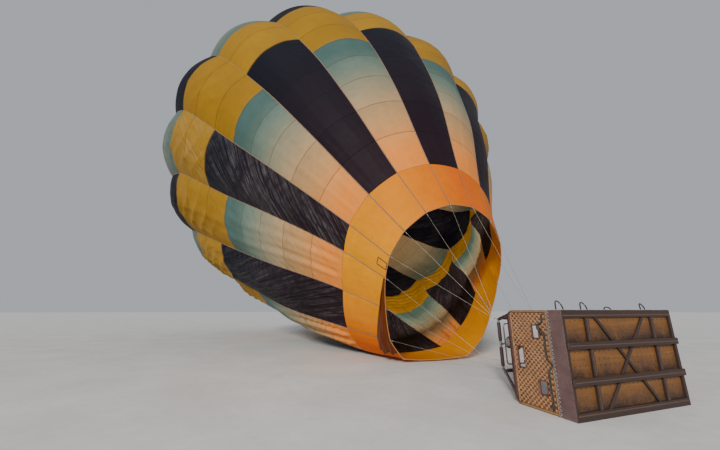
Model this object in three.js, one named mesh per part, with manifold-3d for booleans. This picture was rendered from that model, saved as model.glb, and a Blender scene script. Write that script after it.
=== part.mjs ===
// Hot air balloon being inflated: the envelope leans over the field, and the basket lies on its long side.
// Millimetres, +Z up, +X from the basket to the crown, +Y to the side with the nearer step holes.
// Sizes are given from the burner, with the ground at z = 0, and the whole group is then moved so that
// its origin is at the middle of the envelope.

import * as THREE from 'three';
import { mergeVertices } from 'three/addons/utils/BufferGeometryUtils.js';
import Module from 'manifold-3d';

const wasm = await Module();
wasm.setup();

// Driving dimensions

const AIR_X = 14000;
const AIR_Z = 10000;
const SEAT_GAP = 0.3;

// The envelope's sections, from the mouth to the crown. Each runs through a top point, two side points and
// a bottom point. spread and droop are the powers that flatten the lower half where it lies on the ground,
// 1 being a plain ellipse. bulge is each gore's rise between its tapes, as a share of its width.
const SECTION_COLUMNS = [
  'run', 'topX', 'topZ', 'sideX', 'sideZ', 'halfWidth', 'bottomX', 'bottomZ', 'spread', 'droop', 'bulge',
];
const SECTIONS = [
  [0, 1600, 4450, 2600, 2600, 2000, 3400, 40, 0.35, 1.5, 0.03],
  [2000, 2300, 6050, 3900, 3650, 2850, 5600, 60, 0.35, 1.5, 0.05],
  [6000, 3600, 9800, 6400, 5700, 5000, 8900, 450, 0.45, 1.3, 0.1],
  [10000, 5350, 13450, 9000, 7600, 6900, 12300, 1200, 0.55, 1.15, 0.14],
  [14000, 7550, 16900, 11350, 9800, 9350, 15900, 2200, 0.65, 1.05, 0.16],
  [18200, 10650, 19750, 15100, 11050, 10400, 19600, 3500, 0.8, 1, 0.16],
  [23600, 15600, 20750, 19400, 13200, 8150, 23050, 6500, 1, 1, 0.13],
  [29000, 19950, 17550, 21450, 15150, 3050, 23100, 12900, 1, 1, 0.06],
];
const SECTION_RUN = { mouth: 0, ring: 1950, crown: 29000 };
const GORES = 16;
const GORE_STEP = (2 * Math.PI) / GORES;
const GORE_ACROSS = 4;
const GORE_ALONG = 16;
const SHELL = 10;
const GROUND = 2;
// Half the distances over which the surface's two directions are measured.
const RUN_DELTA = 50;
const ACROSS_DELTA = 0.05;

const CROWN_RING_WIDTH = 90;
const CROWN_LEAN = THREE.MathUtils.degToRad(34);
const VENT = { overlap: 320, rise: 160, clearance: 0.6, domes: [0.3, 0.6, 0.85] };

const BASKET = { rimX: -950, baseX: -2050, length: 2600, width: 1500 };
const RIM_RADIUS = 40;
const RIM_CORNER = 90;
const SKIRT = { height: 300, thickness: 6 };
const WALL_THICKNESS = 34;
const FLOOR_THICKNESS = 20;
const BASE_FRAME = { depth: 40, rail: 110, rib: 66, ribY: 780, brace: 48, braceY: 620 };
const RUNNER = { depth: 36, width: 104, offset: 245 };
const STEP_HOLE_HEIGHT = 140;
// Step holes in each end wall. Columns: distance from the rim, height above the ground, width.
const STEP_HOLES = [
  [240, 750, 330],
  [600, 345, 200],
  [580, 1165, 200],
];
const PARTITION = { y: -350, thickness: 30, height: 800 };
const CYLINDER = { radius: 150, length: 780, dome: 70, footRadius: 120, footWidth: 15, footHeight: 28 };
const COLLAR = { radius: 95, height: 90, wall: 14, seatDrop: 7 };
const CYLINDER_CLEARANCE = 6;
// How far in from the rim's corner arc the uprights stand, as a share of that arc's radius.
const UPRIGHT = { radius: 30, gap: 12, inset: 0.3, rise: 13 };

const FRAME = { z: 820, halfY: 600, halfZ: 520, tube: 22, corner: 80 };
const LUG = { reach: 75, width: 44, thickness: 10, holeX: 50, hole: 13 };
const LINK = { radius: 32, tube: 6, play: 1.1 };
const WIRE_RADIUS = 4;
const WIRE_END_GAP = 2.6;
const WIRE_SPREAD = THREE.MathUtils.degToRad(17);
const GIMBAL = { halfY: 480, halfZ: 400, tube: 14, corner: 60 };
const PIN_RADIUS = 10;
const PIN_BORE = 10.7;
const PIN_REACH = 26;
const BOSS = { radius: 22, length: 60, depth: 34 };
const BLOCK = { backX: -66, frontX: -10, halfY: 300, halfZ: 320, beam: 36 };
const VALVE = { reach: 70, half: 30 };
const LEVER = { fromX: 50, toX: 150, aside: 60, drop: 90, radius: 9 };
const CAN = { y: 170, radius: 140, wall: 6, height: 70 };
const COIL = { radius: 117, tube: 9, turns: 6, pitch: 36 };

// Finishes

const finish = (color, roughness, metalness = 0) =>
  new THREE.MeshStandardMaterial({ color, roughness, metalness });
const DARK_FABRIC = finish(0x1b1d2c, 0.7);
const LIGHT_FABRIC = finish(0xd8c3a4, 0.7);
const BAND_FABRIC = finish(0xe08a14, 0.7);
const VENT_FABRIC = finish(0x2e6f73, 0.7);
const TAPE = finish(0xc9b48c, 0.8);
const WIRE = finish(0x8f9294, 0.35, 1);
const STEEL = finish(0xa9abad, 0.3, 1);
const WICKER = finish(0xb98a4e, 0.8);
const PLYWOOD = finish(0xa8662b, 0.7);
const DARK_WOOD = finish(0x4a3426, 0.75);
const LEATHER = finish(0x5a2a26, 0.6);
const SUEDE = finish(0x7a4a44, 0.9);
const PADDING = finish(0x4c3642, 0.8);

// Solids

function closed(geometry) {
  const bare = geometry.clone();
  bare.deleteAttribute('normal');
  bare.deleteAttribute('uv');
  const merged = mergeVertices(bare, 0.001);
  const corners = merged.index.array;
  if (signedVolume(merged) < 0) {
    for (let i = 0; i < corners.length; i += 3) {
      const first = corners[i];
      corners[i] = corners[i + 1];
      corners[i + 1] = first;
    }
  }
  merged.computeVertexNormals();
  return merged;
}

function signedVolume(geometry) {
  const corners = geometry.index.array;
  const points = geometry.attributes.position;
  const a = new THREE.Vector3();
  const b = new THREE.Vector3();
  const c = new THREE.Vector3();
  let volume = 0;
  for (let i = 0; i < corners.length; i += 3) {
    a.fromBufferAttribute(points, corners[i]);
    b.fromBufferAttribute(points, corners[i + 1]);
    c.fromBufferAttribute(points, corners[i + 2]);
    volume += a.dot(b.cross(c)) / 6;
  }
  return volume;
}

function toSolid(geometry) {
  const merged = closed(geometry);
  const mesh = new wasm.Mesh({
    numProp: 3,
    vertProperties: new Float32Array(merged.attributes.position.array),
    triVerts: new Uint32Array(merged.index.array),
  });
  return new wasm.Manifold(mesh);
}

function toGeometry(solid) {
  const mesh = solid.getMesh();
  const geometry = new THREE.BufferGeometry();
  geometry.setAttribute('position', new THREE.BufferAttribute(new Float32Array(mesh.vertProperties), 3));
  geometry.setIndex(new THREE.BufferAttribute(new Uint32Array(mesh.triVerts), 1));
  geometry.computeVertexNormals();
  return geometry;
}

function joined(...geometries) {
  return toGeometry(geometries.map(toSolid).reduce((whole, piece) => whole.add(piece)));
}

function cut(geometry, ...cutters) {
  return toGeometry(cutters.map(toSolid).reduce((rest, cutter) => rest.subtract(cutter), toSolid(geometry)));
}

function box(x, y, z) {
  const geometry = new THREE.BoxGeometry(x[1] - x[0], y[1] - y[0], z[1] - z[0]);
  return geometry.translate((x[0] + x[1]) / 2, (y[0] + y[1]) / 2, (z[0] + z[1]) / 2);
}

function rod(from, to, radius, sides = 12) {
  const along = new THREE.Vector3().subVectors(to, from);
  const middle = new THREE.Vector3().addVectors(from, to).multiplyScalar(0.5);
  const turn = new THREE.Quaternion();
  turn.setFromUnitVectors(new THREE.Vector3(0, 1, 0), along.clone().normalize());
  const geometry = new THREE.CylinderGeometry(radius, radius, along.length(), sides);
  return geometry.applyQuaternion(turn).translate(middle.x, middle.y, middle.z);
}

// A round tube bent round a rectangle with rounded corners, in a plane of constant x.
function loopTube(x, centreZ, halfY, halfZ, corner, radius, sides = 8, cornerSteps = 4) {
  const path = [];
  for (let quarter = 0; quarter < 4; quarter += 1) {
    const signY = quarter === 0 || quarter === 3 ? 1 : -1;
    const signZ = quarter < 2 ? 1 : -1;
    for (let step = 0; step <= cornerSteps; step += 1) {
      const angle = (quarter + step / cornerSteps) * (Math.PI / 2);
      const outY = Math.cos(angle);
      const outZ = Math.sin(angle);
      path.push({
        y: signY * (halfY - corner) + corner * outY,
        z: centreZ + signZ * (halfZ - corner) + corner * outZ,
        outY,
        outZ,
      });
    }
  }
  const points = [];
  for (const spot of path) {
    for (let side = 0; side < sides; side += 1) {
      const angle = (side / sides) * 2 * Math.PI;
      const out = radius * Math.cos(angle);
      points.push(x + radius * Math.sin(angle), spot.y + out * spot.outY, spot.z + out * spot.outZ);
    }
  }
  return closedGrid(points, path.length, sides);
}

// Triangles over a grid of points that closes on itself both ways.
function closedGrid(points, rows, columns) {
  const corners = [];
  for (let row = 0; row < rows; row += 1) {
    for (let column = 0; column < columns; column += 1) {
      const a = row * columns + column;
      const b = row * columns + ((column + 1) % columns);
      const c = ((row + 1) % rows) * columns + ((column + 1) % columns);
      const d = ((row + 1) % rows) * columns + column;
      corners.push(a, b, c, a, c, d);
    }
  }
  return fromPoints(points, corners);
}

function fromPoints(points, corners) {
  const geometry = new THREE.BufferGeometry();
  geometry.setAttribute('position', new THREE.Float32BufferAttribute(points, 3));
  geometry.setIndex(corners);
  return closed(geometry);
}

// Envelope surface

function sectionAt(run) {
  let i = 0;
  while (i < SECTIONS.length - 2 && run > SECTIONS[i + 1][0]) {
    i += 1;
  }
  const here = SECTIONS[i];
  const next = SECTIONS[i + 1];
  const before = SECTIONS[Math.max(i - 1, 0)];
  const after = SECTIONS[Math.min(i + 2, SECTIONS.length - 1)];
  const span = next[0] - here[0];
  const t = (run - here[0]) / span;
  const section = {};
  SECTION_COLUMNS.forEach((name, column) => {
    const slopeHere = (next[column] - before[column]) / (next[0] - before[0]);
    const slopeNext = (after[column] - here[column]) / (after[0] - here[0]);
    section[name] =
      (2 * t ** 3 - 3 * t ** 2 + 1) * here[column] +
      (t ** 3 - 2 * t ** 2 + t) * span * slopeHere +
      (3 * t ** 2 - 2 * t ** 3) * next[column] +
      (t ** 3 - t ** 2) * span * slopeNext;
  });
  return section;
}

// A point on the envelope at a load tape. The angle runs from the top, positive towards +Y.
function tapePoint(run, angle) {
  const s = sectionAt(run);
  const up = Math.cos(angle);
  const out = Math.sin(angle);
  if (up >= 0) {
    return new THREE.Vector3(
      s.sideX + (s.topX - s.sideX) * up,
      s.halfWidth * out,
      s.sideZ + (s.topZ - s.sideZ) * up,
    );
  }
  const reach = Math.abs(up) ** s.droop;
  return new THREE.Vector3(
    s.sideX + (s.bottomX - s.sideX) * reach,
    Math.sign(out) * s.halfWidth * Math.abs(out) ** s.spread,
    s.sideZ + (s.bottomZ - s.sideZ) * reach,
  );
}

// The fabric between two tapes, which bulges out under pressure and lies flat on the ground.
function gorePoint(gore, across, run) {
  const left = tapePoint(run, (gore - 0.5) * GORE_STEP);
  const right = tapePoint(run, (gore + 0.5) * GORE_STEP);
  const chord = new THREE.Vector3().subVectors(right, left);
  const middle = gore * GORE_STEP;
  const along = tapePoint(run + RUN_DELTA, middle).sub(tapePoint(run - RUN_DELTA, middle));
  const outward = new THREE.Vector3().crossVectors(along, chord).normalize();
  const rise = sectionAt(run).bulge * chord.length() * (1 - across * across);
  const gap = SEAT_GAP / chord.length();
  const point = left.lerp(right, 0.5 + 0.5 * across * (1 - gap)).addScaledVector(outward, rise);
  point.z = Math.max(point.z, GROUND);
  return point;
}

// The outward direction of a gore's own fabric.
function faceNormal(gore, across, run) {
  const [before, after] = [across - ACROSS_DELTA, across + ACROSS_DELTA];
  const side = gorePoint(gore, after, run).sub(gorePoint(gore, before, run));
  const along = gorePoint(gore, across, run + RUN_DELTA).sub(gorePoint(gore, across, run - RUN_DELTA));
  return along.cross(side).normalize();
}

// The same, shared by both gores at the tape between them.
function goreNormal(gore, across, run) {
  const normal = faceNormal(gore, across, run);
  if (Math.abs(across) < 1) {
    return normal;
  }
  return normal.add(faceNormal(gore + across, -across, run)).normalize();
}

// A shell of constant thickness under a grid of outer points with their normals. Rows run from the mouth
// to the crown.
function shell(grid, thickness, wraps) {
  const rows = grid.length;
  const columns = grid[0].length;
  const points = [];
  grid.forEach((row) => row.forEach(({ point }) => points.push(point.x, point.y, point.z)));
  grid.forEach((row) =>
    row.forEach(({ point, normal }) => {
      const inner = point.clone().addScaledVector(normal, -thickness);
      points.push(inner.x, inner.y, inner.z);
    }),
  );
  const below = rows * columns;
  const corners = [];
  const quad = (a, b, c, d) => corners.push(a, b, c, a, c, d);
  const lastColumn = wraps ? columns : columns - 1;
  for (let i = 0; i < rows - 1; i += 1) {
    for (let j = 0; j < lastColumn; j += 1) {
      const a = i * columns + j;
      const b = i * columns + ((j + 1) % columns);
      const c = b + columns;
      const d = a + columns;
      quad(a, b, c, d);
      quad(below + a, below + d, below + c, below + b);
    }
  }
  for (let j = 0; j < lastColumn; j += 1) {
    const next = (j + 1) % columns;
    const end = (rows - 1) * columns;
    quad(j, below + j, below + next, next);
    quad(end + j, end + next, below + end + next, below + end + j);
  }
  if (!wraps) {
    for (let i = 0; i < rows - 1; i += 1) {
      const a = i * columns;
      const b = a + columns - 1;
      quad(a, a + columns, below + a + columns, below + a);
      quad(b, below + b, below + b + columns, b + columns);
    }
  }
  return fromPoints(points, corners);
}

function goreGeometry(gore) {
  const start = SECTION_RUN.ring + SEAT_GAP / 2;
  const length = SECTION_RUN.crown - start;
  const grid = [];
  for (let i = 0; i <= GORE_ALONG; i += 1) {
    const run = start + (length * i) / GORE_ALONG;
    const row = [];
    for (let j = 0; j <= GORE_ACROSS; j += 1) {
      const across = -1 + (2 * j) / GORE_ACROSS;
      row.push({ point: gorePoint(gore, across, run), normal: goreNormal(gore, across, run) });
    }
    grid.push(row);
  }
  return shell(grid, SHELL, false);
}

// A band right round the envelope between two runs.
function bandGeometry(startRun, endRun, steps, thickness) {
  const grid = [];
  for (let i = 0; i <= steps; i += 1) {
    const run = startRun + ((endRun - startRun) * i) / steps;
    const row = [];
    for (let gore = 0; gore < GORES; gore += 1) {
      for (let j = 0; j < GORE_ACROSS; j += 1) {
        const across = -1 + (2 * j) / GORE_ACROSS;
        row.push({ point: gorePoint(gore, across, run), normal: goreNormal(gore, across, run) });
      }
    }
    grid.push(row);
  }
  return shell(grid, thickness, true);
}

// A point just inside the gores at a tape, the given distance back from the crown opening.
function ventSeat(gore, back) {
  const rowLength = (SECTION_RUN.crown - SECTION_RUN.ring) / GORE_ALONG;
  const [end, before] = [0, rowLength].map((distance) => {
    const run = SECTION_RUN.crown - distance;
    return gorePoint(gore, -1, run).addScaledVector(goreNormal(gore, -1, run), -SHELL - VENT.clearance);
  });
  return end.lerp(before, back / rowLength);
}

// The parachute vent: a domed disc whose edge seats on the gores from inside.
function ventGeometry() {
  const out = new THREE.Vector3(Math.cos(CROWN_LEAN), 0, Math.sin(CROWN_LEAN));
  const gores = Array.from({ length: GORES }, (_, gore) => gore);
  const edge = gores.map((gore) => ventSeat(gore, VENT.overlap));
  const rim = gores.map((gore) => ventSeat(gore, 0));
  const middle = rim.reduce((sum, point) => sum.add(point), new THREE.Vector3()).divideScalar(GORES);
  const tip = middle.addScaledVector(out, VENT.rise);
  const domes = VENT.domes.map((inward) => {
    const swell = VENT.rise * inward * (1 - inward);
    return rim.map((point) => point.clone().lerp(tip, inward).addScaledVector(out, swell));
  });
  const layers = [0, SHELL].map((depth) => {
    const sunk = (point) => point.clone().addScaledVector(out, -depth);
    return { rings: [edge, rim, ...domes].map((ring) => ring.map(sunk)), tip: sunk(tip) };
  });
  const ringCount = layers[0].rings.length;
  const points = [];
  layers.forEach((layer) => {
    layer.rings.forEach((ring) => ring.forEach((point) => points.push(point.x, point.y, point.z)));
    points.push(layer.tip.x, layer.tip.y, layer.tip.z);
  });
  const perLayer = ringCount * GORES + 1;
  const corners = [];
  for (let j = 0; j < GORES; j += 1) {
    const next = (j + 1) % GORES;
    for (let ring = 0; ring < ringCount - 1; ring += 1) {
      const a = ring * GORES + j;
      const b = ring * GORES + next;
      const c = b + GORES;
      const d = a + GORES;
      corners.push(a, b, c, a, c, d);
      corners.push(perLayer + a, perLayer + c, perLayer + b, perLayer + a, perLayer + d, perLayer + c);
    }
    const last = (ringCount - 1) * GORES;
    corners.push(last + j, last + next, perLayer - 1);
    corners.push(perLayer + last + next, perLayer + last + j, 2 * perLayer - 1);
    corners.push(j, perLayer + j, perLayer + next, j, perLayer + next, next);
  }
  return fromPoints(points, corners);
}

// Flying wires

function frameCorner(signY, signZ) {
  const inset = FRAME.corner * (1 - Math.SQRT1_2);
  return new THREE.Vector3(0, signY * (FRAME.halfY - inset), FRAME.z + signZ * (FRAME.halfZ - inset));
}

function wireGroupGeometry(signY, signZ) {
  const corner = frameCorner(signY, signZ);
  const slack = LUG.hole - LINK.tube - LINK.play;
  const linkX = LUG.holeX + slack + LINK.radius;
  const link = new THREE.TorusGeometry(LINK.radius, LINK.tube, 8, 16);
  const wires = [];
  for (let i = 0; i < GORES / 4; i += 1) {
    const fromTop = (i + 0.5) * GORE_STEP;
    const angle = signZ > 0 ? fromTop : Math.PI - fromTop;
    const round = signY * (i - (GORES / 4 - 1) / 2) * WIRE_SPREAD;
    const eye = new THREE.Vector3(
      linkX + LINK.radius * Math.cos(round),
      corner.y + LINK.radius * Math.sin(round),
      corner.z,
    );
    const end = tapePoint(SECTION_RUN.mouth, signY * angle);
    const back = new THREE.Vector3().subVectors(eye, end).setLength(WIRE_END_GAP);
    wires.push(rod(eye, end.add(back), WIRE_RADIUS, 6));
  }
  return joined(link.translate(linkX, corner.y, corner.z), ...wires);
}

// Basket, lying on its long side: its height runs along -X from the rim to the base

const rimCentreX = BASKET.rimX - RIM_RADIUS;
const wallTopX = rimCentreX - RIM_RADIUS - SEAT_GAP;
const baseFrameTopX = BASKET.baseX + BASE_FRAME.depth;
const floorX = [baseFrameTopX + SEAT_GAP, baseFrameTopX + FLOOR_THICKNESS];
const wallX = [floorX[1] + SEAT_GAP, wallTopX];
const halfLength = BASKET.length / 2;
const wallOuterY = halfLength - SKIRT.thickness;
const wallOuterZ = [SKIRT.thickness, BASKET.width - SKIRT.thickness];
const wallInnerY = wallOuterY - WALL_THICKNESS;
const wallInnerZ = [wallOuterZ[0] + WALL_THICKNESS, wallOuterZ[1] - WALL_THICKNESS];

function longWallGeometry(upper) {
  const z = upper ? [wallInnerZ[1], wallOuterZ[1]] : [wallOuterZ[0], wallInnerZ[0]];
  return box(wallX, [-wallOuterY, wallOuterY], z);
}

function endWallGeometry(signY) {
  const y = [signY * wallInnerY, signY * wallOuterY].sort((a, b) => a - b);
  const wall = box(wallX, y, [wallInnerZ[0] + SEAT_GAP, wallInnerZ[1] - SEAT_GAP]);
  const holes = STEP_HOLES.map(([fromRim, z, width]) => {
    const x = BASKET.rimX - fromRim;
    return box(
      [x - STEP_HOLE_HEIGHT / 2, x + STEP_HOLE_HEIGHT / 2],
      [y[0] - 1, y[1] + 1],
      [z - width / 2, z + width / 2],
    );
  });
  return cut(wall, ...holes);
}

function rimGeometry(radius) {
  const halfZ = BASKET.width / 2 - RIM_RADIUS;
  return loopTube(rimCentreX, BASKET.width / 2, halfLength - RIM_RADIUS, halfZ, RIM_CORNER, radius);
}

function skirtGeometry() {
  const x = [wallX[0], wallX[0] + SKIRT.height];
  const inner = SKIRT.thickness - SEAT_GAP;
  const outside = box(x, [-halfLength, halfLength], [0, BASKET.width]);
  const inside = box(
    [x[0] - 1, x[1] + 1],
    [-halfLength + inner, halfLength - inner],
    [inner, BASKET.width - inner],
  );
  return cut(outside, inside);
}

function floorGeometry() {
  return box(floorX, [-halfLength, halfLength], [0, BASKET.width]);
}

function baseFrameGeometry() {
  const x = [BASKET.baseX, baseFrameTopX];
  const rail = BASE_FRAME.rail;
  const pieces = [
    box(x, [-halfLength, halfLength], [0, rail]),
    box(x, [-halfLength, halfLength], [BASKET.width - rail, BASKET.width]),
    box(x, [-halfLength, -halfLength + rail / 2], [0, BASKET.width]),
    box(x, [halfLength - rail / 2, halfLength], [0, BASKET.width]),
  ];
  for (const signY of [-1, 1]) {
    const middle = signY * BASE_FRAME.ribY;
    pieces.push(box(x, [middle - BASE_FRAME.rib / 2, middle + BASE_FRAME.rib / 2], [0, BASKET.width]));
    const rise = BASKET.width - rail;
    const reach = 2 * BASE_FRAME.braceY;
    const brace = new THREE.BoxGeometry(BASE_FRAME.depth, Math.hypot(rise, reach), BASE_FRAME.brace);
    brace.rotateX(signY * Math.atan2(rise, reach));
    pieces.push(brace.translate((x[0] + x[1]) / 2, 0, BASKET.width / 2));
  }
  return joined(...pieces);
}

function runnerGeometry(signZ) {
  const z = BASKET.width / 2 + signZ * RUNNER.offset;
  const x = [BASKET.baseX - SEAT_GAP - RUNNER.depth, BASKET.baseX - SEAT_GAP];
  return box(x, [-halfLength, halfLength], [z - RUNNER.width / 2, z + RUNNER.width / 2]);
}

function partitionGeometry() {
  return box(
    [wallX[0], wallX[0] + PARTITION.height],
    [PARTITION.y - PARTITION.thickness / 2, PARTITION.y + PARTITION.thickness / 2],
    [wallInnerZ[0] + SEAT_GAP, wallInnerZ[1] - SEAT_GAP],
  );
}

// A fuel cylinder with domed ends, standing on the floor on its foot ring, with a guard collar on top.
function cylinderGeometry() {
  const { radius, length, dome, footRadius, footWidth, footHeight } = CYLINDER;
  const profile = [
    [0, footHeight],
    [footRadius - footWidth, footHeight],
    [footRadius - footWidth, 0],
    [footRadius, 0],
    [radius, dome],
    [radius, length - dome],
    [COLLAR.radius, length - COLLAR.seatDrop],
    [COLLAR.radius, length + COLLAR.height],
    [COLLAR.radius - COLLAR.wall, length + COLLAR.height],
    [COLLAR.radius - COLLAR.wall, length],
    [0, length + COLLAR.seatDrop],
  ].map(([r, y]) => new THREE.Vector2(r, y));
  return closed(new THREE.LatheGeometry(profile, 16).rotateZ(-Math.PI / 2));
}

function uprightGeometry(signY, signZ) {
  const top = frameCorner(signY, signZ);
  const inset = RIM_RADIUS + RIM_CORNER * UPRIGHT.inset;
  const foot = new THREE.Vector3(
    rimCentreX,
    signY * (halfLength - inset),
    BASKET.width / 2 + signZ * (BASKET.width / 2 - inset),
  );
  const down = new THREE.Vector3().subVectors(foot, top).normalize();
  const footEnd = foot.addScaledVector(down, -UPRIGHT.rise);
  const pole = rod(footEnd, top.addScaledVector(down, UPRIGHT.gap), UPRIGHT.radius);
  return cut(pole, rimGeometry(RIM_RADIUS + SEAT_GAP), frameTube(FRAME.tube + SEAT_GAP));
}

// Load frame, gimbal and burners

function frameTube(radius) {
  return loopTube(0, FRAME.z, FRAME.halfY, FRAME.halfZ, FRAME.corner, radius);
}

function loadFrameGeometry() {
  const pieces = [frameTube(FRAME.tube)];
  const holes = [];
  for (const signY of [-1, 1]) {
    const tube = new THREE.Vector3(0, signY * FRAME.halfY, FRAME.z);
    const faceY = signY * (FRAME.halfY - BOSS.length);
    const boreY = signY * (FRAME.halfY - BOSS.length + BOSS.depth);
    pieces.push(rod(tube, new THREE.Vector3(0, faceY, FRAME.z), BOSS.radius, 16));
    holes.push(
      rod(new THREE.Vector3(0, faceY - signY, FRAME.z), new THREE.Vector3(0, boreY, FRAME.z), PIN_BORE, 20),
    );
    for (const signZ of [-1, 1]) {
      const corner = frameCorner(signY, signZ);
      pieces.push(
        box(
          [0, LUG.reach],
          [corner.y - LUG.thickness / 2, corner.y + LUG.thickness / 2],
          [corner.z - LUG.width / 2, corner.z + LUG.width / 2],
        ),
      );
      holes.push(
        rod(
          new THREE.Vector3(LUG.holeX, corner.y - LUG.thickness, corner.z),
          new THREE.Vector3(LUG.holeX, corner.y + LUG.thickness, corner.z),
          LUG.hole,
          20,
        ),
      );
    }
  }
  return cut(joined(...pieces), ...holes);
}

function gimbalGeometry() {
  const pieces = [loopTube(0, FRAME.z, GIMBAL.halfY, GIMBAL.halfZ, GIMBAL.corner, GIMBAL.tube, 8, 3)];
  const holes = [];
  for (const sign of [-1, 1]) {
    const pinTip = sign * (FRAME.halfY - BOSS.length + PIN_REACH);
    pieces.push(
      rod(
        new THREE.Vector3(0, sign * GIMBAL.halfY, FRAME.z),
        new THREE.Vector3(0, pinTip, FRAME.z),
        PIN_RADIUS,
      ),
    );
    const tubeZ = FRAME.z + sign * GIMBAL.halfZ;
    const faceZ = tubeZ - sign * BOSS.length;
    const boreZ = faceZ + sign * BOSS.depth;
    pieces.push(rod(new THREE.Vector3(0, 0, tubeZ), new THREE.Vector3(0, 0, faceZ), BOSS.radius, 16));
    holes.push(rod(new THREE.Vector3(0, 0, faceZ - sign), new THREE.Vector3(0, 0, boreZ), PIN_BORE, 20));
  }
  return cut(joined(...pieces), ...holes);
}

function burnerBlockGeometry() {
  const x = [BLOCK.backX, BLOCK.frontX];
  const beam = BLOCK.beam;
  const pieces = [
    box(x, [-BLOCK.halfY, BLOCK.halfY], [FRAME.z - beam, FRAME.z + beam]),
    box([BLOCK.backX, PIN_RADIUS], [-beam / 2, beam / 2], [FRAME.z - BLOCK.halfZ, FRAME.z + BLOCK.halfZ]),
  ];
  for (const sign of [-1, 1]) {
    const pinTip = FRAME.z + sign * (GIMBAL.halfZ - BOSS.length + PIN_REACH);
    pieces.push(
      rod(
        new THREE.Vector3(0, 0, FRAME.z + sign * (BLOCK.halfZ - beam)),
        new THREE.Vector3(0, 0, pinTip),
        PIN_RADIUS,
      ),
    );
    const y = sign * CAN.y;
    pieces.push(
      box(
        [BLOCK.backX - VALVE.reach, BLOCK.backX + 1],
        [y - VALVE.half, y + VALVE.half],
        [FRAME.z - VALVE.half, FRAME.z + VALVE.half],
      ),
    );
    pieces.push(
      rod(
        new THREE.Vector3(BLOCK.backX - LEVER.fromX, y, FRAME.z),
        new THREE.Vector3(BLOCK.backX - LEVER.toX, y + sign * LEVER.aside, FRAME.z - LEVER.drop),
        LEVER.radius,
        8,
      ),
    );
  }
  return joined(...pieces);
}

function canGeometry() {
  const profile = [
    [0, 0],
    [CAN.radius, 0],
    [CAN.radius, CAN.height],
    [CAN.radius - CAN.wall, CAN.height],
    [CAN.radius - CAN.wall, CAN.wall],
    [0, CAN.wall],
  ].map(([r, y]) => new THREE.Vector2(r, y));
  return closed(new THREE.LatheGeometry(profile, 24).rotateZ(-Math.PI / 2));
}

class CoilCurve extends THREE.Curve {
  getPoint(t, target = new THREE.Vector3()) {
    const turns = t * COIL.turns;
    const angle = turns * 2 * Math.PI;
    const { radius, pitch } = COIL;
    return target.set(turns * pitch, radius * Math.cos(angle), radius * Math.sin(angle));
  }
}

function coilGeometry() {
  const section = new THREE.Shape().absarc(0, 0, COIL.tube, 0, 2 * Math.PI);
  const steps = COIL.turns * 10;
  const options = { steps, extrudePath: new CoilCurve(), curveSegments: 3 };
  return closed(new THREE.ExtrudeGeometry(section, options));
}

// Assembly

const group = new THREE.Group();

function add(name, geometry, material, position = [0, 0, 0]) {
  const mesh = new THREE.Mesh(geometry, material);
  mesh.name = name;
  mesh.position.set(...position);
  group.add(mesh);
}

for (let gore = 0; gore < GORES; gore += 1) {
  const name = `gore_${String(gore + 1).padStart(2, '0')}`;
  add(name, goreGeometry(gore), gore % 2 === 0 ? DARK_FABRIC : LIGHT_FABRIC);
}
const bandEnd = SECTION_RUN.ring - SEAT_GAP / 2;
add('mouth_band', bandGeometry(SECTION_RUN.mouth, bandEnd, 3, SHELL), BAND_FABRIC);
const ringStart = SECTION_RUN.crown + SEAT_GAP;
add('crown_ring', bandGeometry(ringStart, ringStart + CROWN_RING_WIDTH, 1, SHELL), TAPE);
add('vent_disc', ventGeometry(), VENT_FABRIC);

// Columns: name, sign of y, sign of z from the middle.
const CORNERS = [
  ['upper_near', 1, 1],
  ['upper_far', -1, 1],
  ['lower_near', 1, -1],
  ['lower_far', -1, -1],
];
for (const [name, signY, signZ] of CORNERS) {
  add(`wires_${name}`, wireGroupGeometry(signY, signZ), WIRE);
  add(`upright_${name}`, uprightGeometry(signY, signZ), PADDING);
}

add('floor_board', floorGeometry(), PLYWOOD);
add('base_frame', baseFrameGeometry(), DARK_WOOD);
add('runner_upper', runnerGeometry(1), DARK_WOOD);
add('runner_lower', runnerGeometry(-1), DARK_WOOD);
add('wall_upper', longWallGeometry(true), WICKER);
add('wall_lower', longWallGeometry(false), WICKER);
add('wall_near', endWallGeometry(1), WICKER);
add('wall_far', endWallGeometry(-1), WICKER);
add('leather_skirt', skirtGeometry(), SUEDE);
add('rim', rimGeometry(RIM_RADIUS), LEATHER);
add('partition', partitionGeometry(), WICKER);

const standX = wallX[0];
const cylinderY = [
  -wallInnerY + CYLINDER.radius + CYLINDER_CLEARANCE,
  PARTITION.y - PARTITION.thickness / 2 - CYLINDER.radius - CYLINDER_CLEARANCE,
];
const cylinderZ = [
  wallInnerZ[0] + CYLINDER.radius + SEAT_GAP,
  wallInnerZ[1] - CYLINDER.radius - SEAT_GAP,
];
cylinderY.forEach((y, i) => {
  cylinderZ.forEach((z, j) => {
    add(`cylinder_${2 * i + j + 1}`, cylinderGeometry(), STEEL, [standX, y, z]);
  });
});

add('load_frame', loadFrameGeometry(), STEEL);
add('gimbal', gimbalGeometry(), STEEL);
add('burner_block', burnerBlockGeometry(), STEEL);
for (const [name, signY] of [['near', 1], ['far', -1]]) {
  const canX = BLOCK.frontX + SEAT_GAP;
  add(`burner_can_${name}`, canGeometry(), STEEL, [canX, signY * CAN.y, FRAME.z]);
  const coilX = canX + CAN.wall + COIL.tube * Math.cos(Math.PI / 6) + SEAT_GAP;
  add(`burner_coil_${name}`, coilGeometry(), STEEL, [coilX, signY * CAN.y, FRAME.z]);
}

group.position.set(-AIR_X, 0, -AIR_Z);

export default group;
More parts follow.
